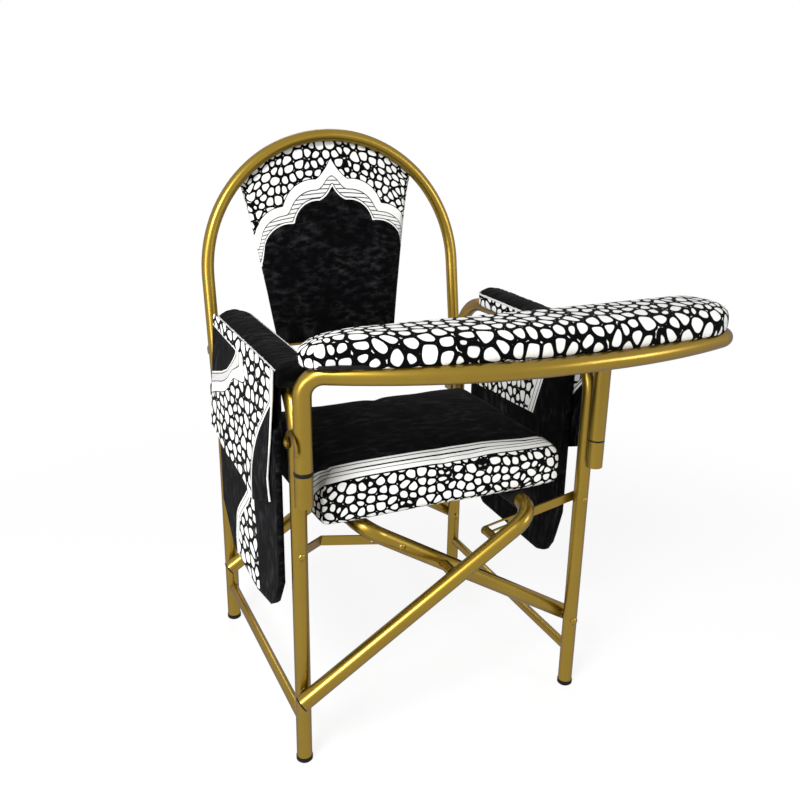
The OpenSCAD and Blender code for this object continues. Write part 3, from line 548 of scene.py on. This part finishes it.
def pad_shape(a, b, c):
    inset = rim_inset(c, PAD_RIMS, PAD_H)
    half = (PAD_RIGHT - PAD_LEFT) / 2
    reach = END_LEFT if a < 0 else END_RIGHT
    along = a * half
    over = max(0.0, (abs(along) - (half - reach)) / reach)
    pull = math.sqrt(max(0.0, 1 - over * over / 2))
    side = b * pull
    if over > 0:
        along = math.copysign(half - reach + reach * over * math.sqrt(1 - b * b / 2), a)
    x = PAD_LEFT + half + along
    inner = min(max(x, PAD_LEFT + END_LEFT), PAD_RIGHT - END_RIGHT)
    front = float(np.interp(inner, FRONT_X, FRONT_Y))
    centre, width = (PAD_REAR + front) / 2, (PAD_REAR - front) / 2
    size = max(0.0, 1 - inset / width)
    mid_x = min(max(x, PAD_LEFT + width), PAD_RIGHT - width)
    x = mid_x + (x - mid_x) * size
    top = (c + 1) / 2
    crown = 3.5 * (1 - side ** 4) * (1 - a ** 10) * top
    # The cover is drawn down over the board's edge
    skirt = 12.0 * max(abs(a), abs(b)) ** 30 * (1 - top) ** 2
    # The left end is sewn down thin
    thin = max(0.0, 1 - (x - PAD_LEFT) / 95) ** 2
    return x, centre + side * width * size, PAD_Z + PAD_H * top * (1 - 0.42 * thin) + crown - skirt


tray_pad = cloth_block("tray_pad", (PAD_RIGHT - PAD_LEFT, 118, PAD_H), (6, 6, 5), pad_shape,
                       tray_print, rims=PAD_RIMS)
fill_with_foam(tray_pad, 2.5, 2.5, stiffness=30)
softened(tray_pad)
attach(tray_pad, "tray")
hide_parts("tray_cushion")
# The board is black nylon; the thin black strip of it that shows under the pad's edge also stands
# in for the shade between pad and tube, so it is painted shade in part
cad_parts["tray_board"].data.materials.clear()
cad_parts["tray_board"].data.materials.append(nylon)

# %% [markdown]
# ## The back panel
# The panel tapers to the seat and its top edge follows the arch. The print shows a pointed arch
# of many lobes, as on a prayer rug: a velvet field, a thin white line, a hatched band and a broad
# white band. The two outlines of the band are drawn as chains of arcs. Each point of the panel
# then stores how far it lies from one to the other, and the material paints bands by that value.

# %% Outlines of the arch motif
def arc_points(p, q, bulge, count=14):
    """Points on an arc from p to q; bulge is its height over the chord, left of the way."""
    p, q = Vector(p), Vector(q)
    if abs(bulge) < 1e-6:
        return [p.lerp(q, i / count) for i in range(count)]
    chord = q - p
    left = Vector((-chord.y, chord.x)).normalized()
    radius = (chord.length_squared / 4 + bulge ** 2) / (2 * bulge)
    centre = (p + q) / 2 - left * (radius - bulge)
    start = math.atan2(p.y - centre.y, p.x - centre.x)
    end = math.atan2(q.y - centre.y, q.x - centre.x)
    sweep = (end - start + math.pi) % (2 * math.pi) - math.pi
    r = abs(radius)
    return [Vector((centre.x + r * math.cos(start + sweep * i / count),
                    centre.y + r * math.sin(start + sweep * i / count))) for i in range(count)]


def half_outline(stations):
    points = []
    for (p, bulge), (q, _) in zip(stations, stations[1:]):
        points += arc_points(p, q, bulge)
    points.append(Vector(stations[-1][0]))
    return points


def mirrored(points):
    return [*points, *[Vector((-p.x, p.y)) for p in reversed(points[:-1])]]


# Each station is a point and the bulge of the arc that follows it, from the left foot to the apex
outer_line = mirrored(half_outline([((-300, -90), 0), ((-300, 120), 0), ((-158, 150), 4),
                                    ((-154, 190), 19), ((-97, 256), 15),
                                    ((-30, 303), -4), ((0, 346), 0)]))
inner_line = mirrored(half_outline([((-290, -90), 0), ((-290, 92), 0), ((-140, 128), 4),
                                    ((-139, 178), 16), ((-77, 224), 13),
                                    ((-26, 264), -4), ((0, 292), 0)]))


def away(points, x, y):
    """Least distance from each place to a chain of points, with numpy."""
    line = np.array([[p.x, p.y] for p in points])
    p, q = line[:-1], line[1:]
    least = np.full(len(x), 1e9)
    for (ax, ay), (bx, by) in zip(p, q):
        dx, dy = bx - ax, by - ay
        t = np.clip(((x - ax) * dx + (y - ay) * dy) / (dx * dx + dy * dy), 0, 1)
        least = np.minimum(least, np.hypot(x - ax - t * dx, y - ay - t * dy))
    return least


def within(points, x, y):
    inside = np.zeros(len(x), bool)
    line = [(p.x, p.y) for p in points]
    for (ax, ay), (bx, by) in zip(line, line[1:] + line[:1]):
        crosses = (ay > y) != (by > y)
        rise = (bx - ax) * (y - ay) / ((by - ay) or 1e-9) + ax
        inside ^= crosses & (x < rise)
    return inside


def store_band(piece, inner, outer, x, y, spread=36.0):
    """0 on the inner outline, 1 on the outer one, below 0 inside and above 1 outside."""
    near_in, near_out = away(inner, x, y), away(outer, x, y)
    field = within(inner, x, y)
    beyond = ~within(outer, x, y)
    value = near_in / np.maximum(near_in + near_out, 1e-6)
    value = np.where(field, -near_in / spread, value)
    value = np.where(beyond & ~field, 1 + near_out / spread, value)
    store(piece, "band", value)


# %% [markdown]
# ### The print
# The material reads the stored number and lays bars over it: white, a hatched band between two
# black lines, broad white and a black outline. Below 0 lies velvet, above 1 lie pebbles.

# %% Printed cloth with the motif
MOTIF_STOPS = [(-0.5, 0), (0.0, 1), (0.078, 0), (0.122, 1), (0.46, 0), (0.505, 1), (0.965, 0)]


def motif_tint(tree, place, cell_mm, hatch_mm, long=1.0):
    """Colour of the motif by the stored band, with the velvet's pile and its colour."""
    band = stored(tree, "band")
    velvet, pile = velvet_look(tree, place)
    pebbles = blend_colours(tree, pebble_mask(tree, place, cell_mm, long), INK, CHALK)
    # Thin lines of ink lie across the middle band, a little uneven as if drawn by hand
    hatch = add(tree, "ShaderNodeTexWave",
                {"bands_direction": "Y", "Scale": bands(hatch_mm),
                 "Distortion": 1.6, "Detail": 1.0, "Detail Scale": 0.3}, {"Vector": place})
    line = edge(tree, hatch.outputs[1], 0.06, 0.2)
    grey = blend_colours(tree, line, colour("#1A1A1C"), colour("#DADAD8"))
    # A ramp reads 0 to 1 only, so the band from -0.5 to 1.5 is squeezed into that
    bars = hard_bars(tree, scaled(tree, band, 0.5, 0.25),
                     [(at * 0.5 + 0.25, white) for at, white in MOTIF_STOPS])
    ink = blend_colours(tree, bars, INK, CHALK)
    in_hatch = maths(tree, "MULTIPLY", edge(tree, band, 0.12, 0.126),
                     edge(tree, band, 0.463, 0.457))
    border = blend_colours(tree, in_hatch, ink, grey)
    field = edge(tree, band, 0.004, -0.004)
    ground = edge(tree, band, 1.012, 1.018)
    tint = blend_colours(tree, ground, blend_colours(tree, field, border, velvet), pebbles)
    return tint, pile, velvet


def motif_cloth(name, cell_mm, hatch_mm):
    material, tree, bsdf = new_material(name)
    place = cloth_place(tree)
    tint, pile, _ = motif_tint(tree, place, cell_mm, hatch_mm)
    fabric_surface(tree, bsdf, tint, pile, bump=0.4)
    return material


# %% [markdown]
# ### The padded panel
# The arch leans back from a height of 482 mm up. So the panel is laid out flat, by the way up
# along the tubes, and is then tilted to their lean.

# %% Back panel
MID_X = 240.0
LEAN = math.radians(9)
ARCH_Y, LEAN_Z = 455.3, 482.0
ARCH_R, ARCH_TOP, TUBE_R = 242.0, 912, 11
SPRING = (ARCH_TOP - LEAN_Z) / math.cos(LEAN) - ARCH_R - TUBE_R
PANEL_FOOT = 541
PANEL_LOW = (PANEL_FOOT - LEAN_Z) / math.cos(LEAN) + 2
PANEL_T = 24.0
PANEL_CURVE = ARCH_R + 2
HALF_WIDTHS = [119, 131.5, 143.5, 156, 170]
MOTIF_X, MOTIF_Z = 3, 525


def panel_edge(t):
    """Half the panel's width from its foot, t = 0, to its upper corners, t = 1."""
    return float(np.interp(t, [0, 0.25, 0.5, 0.75, 1], HALF_WIDTHS))


def panel_place(a, b):
    t = (b + 1) / 2
    x = a * panel_edge(t)
    corner = SPRING + math.sqrt(PANEL_CURVE ** 2 - HALF_WIDTHS[-1] ** 2)
    crown = SPRING + math.sqrt(PANEL_CURVE ** 2 - min(abs(x), HALF_WIDTHS[-1]) ** 2)
    upper = corner + (crown - corner) * t ** 1.5
    return x, PANEL_LOW + t * (upper - PANEL_LOW)


def panel_shape(a, b, c):
    x, s = panel_place(a, b)
    inset = rounding(c, 9, PANEL_T)
    x -= math.copysign(inset, a) * abs(a) ** 3
    s -= math.copysign(inset, b) * abs(b) ** 3
    if b < 0 < c:
        # The cover's front is pulled down over the cross rail
        s -= 22 * b ** 60 * c ** 6
    swell = 1 + 0.20 * (1 - a ** 4) * (1 - b ** 4)
    off = 20 - c * (PANEL_T / 2 - 1) * swell
    along = s * math.cos(LEAN) - off * math.sin(LEAN)
    deep = s * math.sin(LEAN) + off * math.cos(LEAN)
    return MID_X + x, ARCH_Y + deep, LEAN_Z + along


panel = cloth_block("back_pad", (320, 370, PANEL_T), (4, 4, 5), panel_shape,
                    motif_cloth("arch_motif_print", 16, 7.0))
across = np.array([v.co.x * 1000 - MID_X - MOTIF_X for v in panel.data.vertices])
upward = np.array([(v.co.z * 1000 - LEAN_Z) / math.cos(LEAN) + LEAN_Z - MOTIF_Z
                   for v in panel.data.vertices])
store_band(panel, inner_line, outer_line, across, upward)
fill_with_foam(panel, 2.0, 2.5, stiffness=30)
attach(panel, "back")
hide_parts("back_cushion")

# %% [markdown]
# ## Armrest pads
# Each arm tube carries a foam pad in a sewn cover: velvet gathered over the top, a printed strip
# round the sides and a white piping cord in the seam between them. The pad is made from a block
# whose rear end is bent round, as the pad's plan is.

# %% Armrests
ARM_FRONT, ARM_REAR = -8.5, 334.5
ARM_LOW, ARM_HIGH = 608.5, 638.5
ARM_HALF = 27.5
ARM_RIMS = (10, 5)
ARMS = (("left", 0.0), ("right", 480.0))


def pad_point(mid_x, a, b, c):
    height = ARM_HIGH - ARM_LOW
    inset = rim_inset(c, ARM_RIMS, height)
    half = (ARM_REAR - ARM_FRONT) / 2
    along = b * half
    over = max(0.0, (along - (half - ARM_HALF)) / ARM_HALF)
    x = a * ARM_HALF * math.sqrt(max(0.0, 1 - over * over / 2))
    if over > 0:
        along = half - ARM_HALF + ARM_HALF * over * math.sqrt(1 - a * a / 2)
    y = ARM_FRONT + half + along
    size = 1 - inset / ARM_HALF
    mid_y = min(max(y, ARM_FRONT + ARM_HALF), ARM_REAR - ARM_HALF)
    x, y = x * size, mid_y + (y - mid_y) * size
    top = max(0.0, c)
    gather = noise.noise(Vector((x / 22, y / 6.0, mid_x))) * 1.8 * top
    crown = 2.2 * (1 - a * a) * top
    return mid_x + x, y, ARM_LOW + height * (c + 1) / 2 + gather + crown


def pad_cloth():
    material, tree, bsdf = new_material("gathered_velvet_sleeve")
    place = cloth_place(tree)
    off_top = stored(tree, "off_top")
    velvet, pile = velvet_look(tree, place)
    pebbles = blend_colours(tree, pebble_mask(tree, place, 17), INK, CHALK)
    tint = blend_colours(tree, edge(tree, off_top, 0.0, 0.05), velvet, pebbles)
    fabric_surface(tree, bsdf, tint, pile, bump=0.5)
    return material


pad_cover = pad_cloth()
for side, mid_x in ARMS:
    pad = cloth_block("arm_pad_" + side, (2 * ARM_HALF, ARM_REAR - ARM_FRONT, 30), (4.5, 4, 4),
                      lambda a, b, c: pad_point(mid_x, a, b, c), pad_cover, rims=ARM_RIMS)
    # The printed strip starts 5 mm below the top and ends short of the front
    store(pad, "off_top", [min(ARM_HIGH - 5 - v.co.z * 1000, v.co.y * 1000 - 14) / 10
                           for v in pad.data.vertices])
    softened(pad)
    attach(pad, side + "_frame")
    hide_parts("arm_sleeve_" + side)

# %% [markdown]
# ## Piping
# Piping is a thin cord wrapped in cloth and caught in a seam. A curve with a round section follows
# the seam and is then turned into a mesh.

# %% Piping helper
def piping_cloth():
    material, tree, bsdf = new_material("white_piping_cord")
    place = object_place(tree)
    twist = add(tree, "ShaderNodeTexNoise", {"Scale": 700.0, "Detail": 1.0}, {"Vector": place})
    tint = blend_colours(tree, twist.outputs[0], colour("#A9A9A6"), colour("#E4E4E0"))
    fabric_surface(tree, bsdf, tint, twist.outputs[0], bump=0.3)
    return material


piping = piping_cloth()


def cord_along(name, points_mm, radius_mm, body, finish):
    data = bpy.data.curves.new(name, "CURVE")
    data.dimensions = "3D"
    data.bevel_depth = radius_mm / 1000
    data.bevel_resolution = 3
    data.use_fill_caps = True
    spline = data.splines.new("POLY")
    spline.points.add(len(points_mm) - 1)
    for point, place in zip(spline.points, points_mm):
        point.co = (*[v / 1000 for v in place], 1)
    data.materials.append(finish)
    piece = bpy.data.objects.new(name, data)
    bpy.context.collection.objects.link(piece)
    bpy.context.view_layer.objects.active = piece
    piece.select_set(True)
    bpy.ops.object.convert(target="MESH")
    piece.select_set(False)
    for polygon in piece.data.polygons:
        polygon.use_smooth = True
    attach(piece, body)
    return piece


for side, mid_x in ARMS:
    run = [(-1, -1 + 0.02 * i) for i in range(3, 101)]
    run += [(-1 + 0.05 * i, 1) for i in range(1, 41)]
    run += [(1, 1 - 0.02 * i) for i in range(1, 98)]
    seam = [pad_point(mid_x, a, b, 0.56) for a, b in run]
    cord = cord_along("arm_piping_" + side, seam, 1.7, side + "_frame", piping)

# %% [markdown]
# ## Side bags and their flaps
# A flat pouch hangs under each armrest on the outside, and a flap falls over its mouth. Each is
# cut from the printed cloth with a thin filling, and the flaps hang with soft waves. A block bent
# to the outline keeps the print on its cloth.

# %% Hanging cloth
def hanging_shape(side, near_x, thick, front, rear, low, high, wave):
    """front and rear give y by the share of the height, low and high give z by y; near_x is the
    side next to the leg, counted outward from the leg's middle."""
    def shape(a, b, c):
        t = (c + 1) / 2
        y = front(t) + (b + 1) / 2 * (rear(t) - front(t))
        z = low(y) + t * (high(y) - low(y))
        sway = math.sin(y / 34 + z / 80) + 0.8 * noise.noise(Vector((y / 30, z / 45, near_x)))
        outward = near_x + (a + 1) / 2 * thick + wave * (0.9 + sway * 0.5) * (1 - t) ** 0.7
        return MID_X + side * (MID_X + outward), y, z
    return shape


def table(*points):
    xs, ys = [p[0] for p in points], [p[1] for p in points]
    return lambda v: float(np.interp(v, xs, ys))


def side_spots(piece):
    """The y and z of every point, in millimetres."""
    return np.array([(v.co.y * 1000, v.co.z * 1000) for v in piece.data.vertices]).T


def chain(*places):
    return [Vector(p) for p in places]


def beyond_line(line, y, z):
    """Distance from a line that runs from top to bottom: above 0 behind it, below 0 ahead."""
    zs = [p.y for p in reversed(line)]
    ys = [p.x for p in reversed(line)]
    ahead = y < np.interp(z, zs, ys)
    return np.where(ahead, -1.0, 1.0) * away(line, y, z)


# %% [markdown]
# ### The flaps
# A flap carries the same print, drawn from lines of its own, and a dark border with two thin
# white lines along its front.

# %% Flaps
FLAP_TOP, FLAP_PRINT = 634.0, 613.0
FLAP_T = 2.4
FLAP_SEAM_X = 271.8
flap_field = chain((187, 613), (192, 604), (203, 594), (218, 582), (245, 565), (282, 551),
                   (357, 529), (420, 512), (420, 613))
flap_band = chain((151, 613), (150, 600), (145, 587), (142, 574), (159, 568), (206, 562),
                  (222, 552), (237, 539), (258, 525), (283, 515), (325, 503), (367, 488),
                  (420, 470), (420, 613))
flap_rim = chain((28, 640), (8, 632), (14, 607), (14, 589), (40, 565), (65, 540), (89, 514),
                 (107, 486), (120, 458), (123, 423), (123, 380))


def flap_cloth(name, cell_mm, hatch_mm, long):
    material, tree, bsdf = new_material(name)
    place = cloth_place(tree)
    rim = stored(tree, "rim")
    print_tint, pile, velvet = motif_tint(tree, place, cell_mm, hatch_mm, long)
    line_a = maths(tree, "MULTIPLY", edge(tree, rim, -2.4, -2.0), edge(tree, rim, -0.2, -0.6))
    line_b = maths(tree, "MULTIPLY", edge(tree, rim, -8.2, -7.8), edge(tree, rim, -3.8, -4.2))
    lines = blend_colours(tree, maths(tree, "MAXIMUM", line_a, line_b), velvet, CHALK)
    tint = blend_colours(tree, edge(tree, rim, -0.2, 0.2), lines, print_tint)
    fabric_surface(tree, bsdf, tint, pile, bump=0.4)
    return material


# On the left flap and bag the pebbles print larger, and narrower along the arm than they are tall
flap_prints = {"left": flap_cloth("flap_print_left", 30, 6.0, 0.74),
               "right": flap_cloth("flap_print_right", 18, 6.0, 1.0)}
for side, sign in (("left", -1), ("right", 1)):
    flap = cloth_block(
        "flap_" + side, (FLAP_T, 388, 234), (FLAP_T, 5, 5),
        hanging_shape(sign, 28.7, FLAP_T,
                      table((0, 31), (0.16, 40), (0.47, 20), (0.78, 4), (1, -3)),
                      table((0, 386), (0.26, 375), (0.74, 347), (1, 331)),
                      table((31, 431), (104, 402), (141, 391), (163, 404), (257, 410), (337, 424),
                            (387, 426)),
                      lambda y: FLAP_TOP, 3.2),
        flap_prints[side])
    y, z = side_spots(flap)
    store_band(flap, flap_field, flap_band, y, z)
    band = flap.data.attributes["band"]
    values = np.zeros(len(y), np.float32)
    band.data.foreach_get("value", values)
    band.data.foreach_set("value", np.where(z > FLAP_PRINT, 1.5, values).astype(np.float32))
    store(flap, "rim", beyond_line(flap_rim, y, z))
    softened(flap)
    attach(flap, "flap_" + side)
    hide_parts("side_flap_" + side)
    seam = [(MID_X + sign * FLAP_SEAM_X, y, z) for y, z in
            ((-3, 633), (0, 612), (4, 590), (12, 560), (20, 527), (31, 495), (39, 466), (37, 447),
             (31, 431))]
    cord = cord_along("flap_piping_" + side, seam, 1.6, "flap_" + side, piping)
print("flaps hang from", ARM_HIGH, "mm")

# %% [markdown]
# ### The pouches
# A pouch is two layers of cloth sewn together at three sides, so it is really open at its mouth:
# the top of the block is inset and pushed down inside. A single layer goes on up to the armrest.

# %% Pouches
RAMP_MM = 40.0
POUCH_T = 9.0
BACK_T = 1.6


def pocket(piece, mouth_z, wall_mm, deep_mm):
    """Opens the top of a block: an inset all round, and the face inside pushed down."""
    mesh = bmesh.new()
    mesh.from_mesh(piece.data)
    mesh.normal_update()
    top = [f for f in mesh.faces if f.normal.z > 0.6 and
           min(v.co.z for v in f.verts) * 1000 > mouth_z(f.calc_center_median().y * 1000) - 3]
    bmesh.ops.inset_region(mesh, faces=top, thickness=wall_mm / 1000, use_even_offset=True)
    sunk = bmesh.ops.extrude_face_region(mesh, geom=top)
    bmesh.ops.delete(mesh, geom=top, context="FACES")
    bmesh.ops.translate(mesh, vec=(0, 0, -deep_mm / 1000),
                        verts=[g for g in sunk["geom"] if isinstance(g, bmesh.types.BMVert)])
    bmesh.ops.recalc_face_normals(mesh, faces=mesh.faces)
    mesh.to_mesh(piece.data)
    mesh.free()


def pouch_cloth(name, stops, ahead_black, cell_mm, long):
    """Stripes and pebbles by the distance behind the line of the stripes' front edge."""
    material, tree, bsdf = new_material(name)
    place = cloth_place(tree)
    behind = stored(tree, "behind")
    rim = stored(tree, "rim")
    velvet, pile = velvet_look(tree, place)
    pebbles = blend_colours(tree, pebble_mask(tree, place, cell_mm, long), INK, CHALK)
    share = add(tree, "ShaderNodeMapRange", {1: 0.0, 2: RAMP_MM}, {0: behind}).outputs[0]
    bars = hard_bars(tree, share, [(at / RAMP_MM, white) for at, white in stops])
    stripes = blend_colours(tree, bars, INK, CHALK)
    on = edge(tree, behind, -0.3, 0.3)
    past = edge(tree, behind, stops[-1][0] - 0.3, stops[-1][0] + 0.3)
    near, far = (velvet, pebbles) if ahead_black else (pebbles, velvet)
    tint = blend_colours(tree, past, blend_colours(tree, on, near, stripes), far)
    tint = blend_colours(tree, edge(tree, rim, -0.3, 0.3), velvet, tint)
    fabric_surface(tree, bsdf, tint, pile, bump=0.4)
    return material


STRIPES = [(0, 1), (4, 0), (5.5, 1), (13, 0), (14.5, 1), (18, 0)]
bags = {
    "left": {"sign": -1, "y": (10.5, 344.5), "mouth": lambda y: 545.0,
             "low": table((10, 310), (22, 290), (38, 264), (58, 248), (135, 232), (279, 236),
                          (345, 299)),
             "top": table((10, 607), (329, 607), (345, 586)),
             "line": chain((152, 640), (152, 400), (158, 377), (185, 352), (206, 334), (225, 316),
                           (233, 305), (243, 265), (241, 238), (240, 200)),
             "rim": chain((134, 640), (134, 379), (127, 331), (124, 289), (122, 246), (112, 200)),
             "black_ahead": False, "print": (27, 0.84)},
    "right": {"sign": 1, "y": (82.5, 411.5),
              "mouth": lambda y: min(545.0, 604 - 1.3 * max(0.0, y - 329)),
              "low": table((82, 290), (90, 262), (102, 222), (118, 198), (142, 189), (346, 193),
                           (412, 256)),
              "top": table((82, 607), (329, 607), (412, 499)),
              "line": chain((150, 640), (158, 513), (172, 475), (185, 437), (184, 397),
                            (178, 340), (170, 260), (166, 180)),
              "rim": chain((60, 640), (60, 445), (430, 430), (430, 150)), "black_ahead": True,
              "print": (17, 1.0)}}
for side, bag in bags.items():
    y0, y1 = bag["y"]
    outline = (table((0, y0), (1, y0)), table((0, y1), (1, y1)))
    pouch = cloth_block("pouch_" + side, (POUCH_T, y1 - y0, 310),
                        (POUCH_T / 2, 7, 7),
                        hanging_shape(bag["sign"], 18.8, POUCH_T, *outline, bag["low"],
                                      bag["mouth"], 0.0),
                        pouch_cloth("pouch_print_" + side, STRIPES, bag["black_ahead"],
                                    *bag["print"]))
    pocket(pouch, bag["mouth"], 1.7, 130)
    y, z = side_spots(pouch)
    store(pouch, "behind", beyond_line(bag["line"], y, z))
    store(pouch, "rim", beyond_line(bag["rim"], y, z))
    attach(pouch, side + "_frame")
    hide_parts("side_bag_" + side)
    high = bag["top"]
    backing = cloth_block("bag_back_" + side, (BACK_T, y1 - y0, 72), (BACK_T, 7, 7),
                          hanging_shape(bag["sign"], 16.7, BACK_T, *outline,
                                        lambda y: min(535.0, high(y) - 10), high, 0.0),
                          black_velvet)
    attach(backing, side + "_frame")
    print(pouch.name, "is", round(y1 - y0), "mm wide and open at its top")

# %% [markdown]
# ## Sleeves on the seat rails
# The seat's cover is sewn into two tubes of black cotton that slide over the rails. They are a
# little loose, so they lie in small rings.

# %% Rail sleeves
cotton = plain_plastic("black_cotton", "#0B0B0C", 0.9, 1.5)
for letter in "ab":
    low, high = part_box("rail_sleeve_" + letter)
    mid = [(p + q) / 2 for p, q in zip(low, high)]
    length, radius = high[1] - low[1], (high[0] - low[0]) / 2
    mesh = bmesh.new()
    turn = Matrix.Translation(mid) @ Matrix.Rotation(math.pi / 2, 4, "X")
    bmesh.ops.create_cone(mesh, cap_ends=True, segments=40, radius1=radius - 0.0004,
                          radius2=radius - 0.0004, depth=length - 0.001, matrix=turn)
    along = [e for e in mesh.edges if abs(e.verts[0].co.y - e.verts[1].co.y) > length / 2]
    bmesh.ops.subdivide_edges(mesh, edges=along, cuts=90)
    for vert in mesh.verts:
        swell = 0.0004 * math.sin(vert.co.y * 900) + 0.0005 * noise.noise(vert.co * 60)
        out = Vector((vert.co.x - mid[0], 0, vert.co.z - mid[2]))
        if out.length > 1e-6:
            vert.co += out.normalized() * min(0.0006, swell)
    for face in mesh.faces:
        face.smooth = len(face.verts) == 4
    data = bpy.data.meshes.new("rail_cover_" + letter)
    mesh.to_mesh(data)
    mesh.free()
    cover = bpy.data.objects.new("rail_cover_" + letter, data)
    bpy.context.collection.objects.link(cover)
    data.materials.append(cotton)
    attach(cover, "cross_" + letter)
    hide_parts("rail_sleeve_" + letter)

# %% [markdown]
# ## Light and ground
# The photograph is a cut-out on pure white, lit softly from the upper left. A large lamp stands
# there and a weaker one lower down; one on the right and one behind are weaker still, and a dim
# white world fills the rest. The camera sees that world at full white, and so does the metal that
# mirrors it. The floor is pale so that the chair's soft shadow stays, and it fades into the white
# a little way off.

# %% Studio
def area_lamp(name, place, target, size, watts):
    data = bpy.data.lights.new(name, "AREA")
    data.shape = "DISK"
    data.size = size
    data.energy = watts
    lamp = bpy.data.objects.new(name, data)
    lamp.location = place
    lamp.rotation_euler = (Vector(target) - Vector(place)).to_track_quat("-Z", "Y").to_euler()
    bpy.context.collection.objects.link(lamp)


def seen_rays(tree):
    """1 where the camera looks straight at something, or sees it in metal or through glass."""
    path = add(tree, "ShaderNodeLightPath")
    return maths(tree, "MAXIMUM", path.outputs["Is Camera Ray"],
                 maths(tree, "MAXIMUM", path.outputs["Is Glossy Ray"],
                       path.outputs["Is Transmission Ray"]))


area_lamp("key", (-1.5, -1.4, 2.3), (0.25, 0.1, 0.45), 1.0, 94)
area_lamp("strip", (-1.9, -0.9, 0.9), (0.25, 0.1, 0.6), 1.0, 24)
area_lamp("fill", (1.9, -1.6, 1.3), (0.25, 0.1, 0.45), 0.7, 14)
area_lamp("rim", (0.6, 2.0, 1.9), (0.25, 0.2, 0.5), 1.0, 12)

world = bpy.data.worlds.new("white_studio")
world.use_nodes = True
bpy.context.scene.world = world
tree = world.node_tree
tree.nodes.clear()
plain = add(tree, "ShaderNodeBackground", {"Color": colour("#FFFFFF"), "Strength": 1.0})
soft = add(tree, "ShaderNodeBackground", {"Color": colour("#FFFFFF"), "Strength": 0.30})
both = add(tree, "ShaderNodeMixShader", {},
           {0: seen_rays(tree), 1: soft.outputs[0], 2: plain.outputs[0]})
add(tree, "ShaderNodeOutputWorld", {}, {"Surface": both.outputs[0]})

mesh = bmesh.new()
bmesh.ops.create_circle(mesh, cap_ends=True, segments=96, radius=6.0)
floor_data = bpy.data.meshes.new("studio_floor")
mesh.to_mesh(floor_data)
mesh.free()
floor = bpy.data.objects.new("studio_floor", floor_data)
bpy.context.collection.objects.link(floor)
material, tree, bsdf = new_material("white_studio_paper")
place = object_place(tree)
off = add(tree, "ShaderNodeVectorMath", {"operation": "SUBTRACT", 1: (0.24, 0.22, 0.0)},
          {0: place})
reach = add(tree, "ShaderNodeVectorMath", {"operation": "LENGTH"}, {0: off.outputs[0]}).outputs[1]
bsdf.inputs["Base Color"].default_value = colour("#F4F4F4")
bsdf.inputs["Roughness"].default_value = 0.9
glow = add(tree, "ShaderNodeEmission", {"Color": colour("#FFFFFF"), "Strength": 1.0})
# Near the chair the paper keeps 14 percent of its own shade, and none beyond 1.5 m
lift = scaled(tree, edge(tree, reach, 0.7, 1.5), 0.14, 0.86)
share = maths(tree, "MULTIPLY", lift, seen_rays(tree))
blend = add(tree, "ShaderNodeMixShader", {}, {0: share, 1: bsdf.outputs[0], 2: glow.outputs[0]})
tree.links.new(blend.outputs[0], tree.nodes["Material Output"].inputs["Surface"])
floor_data.materials.append(material)
floor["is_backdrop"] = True

# %% [markdown]
# ## Sizes
# The dressed chair is measured over all that renders apart from the floor, and its size is printed.

# %% View settings and sizes
scene = bpy.context.scene
scene.view_settings.view_transform = "Standard"
low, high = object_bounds()
print("dressed size in mm:", [round((q - p) * 1000) for p, q in zip(low, high)])
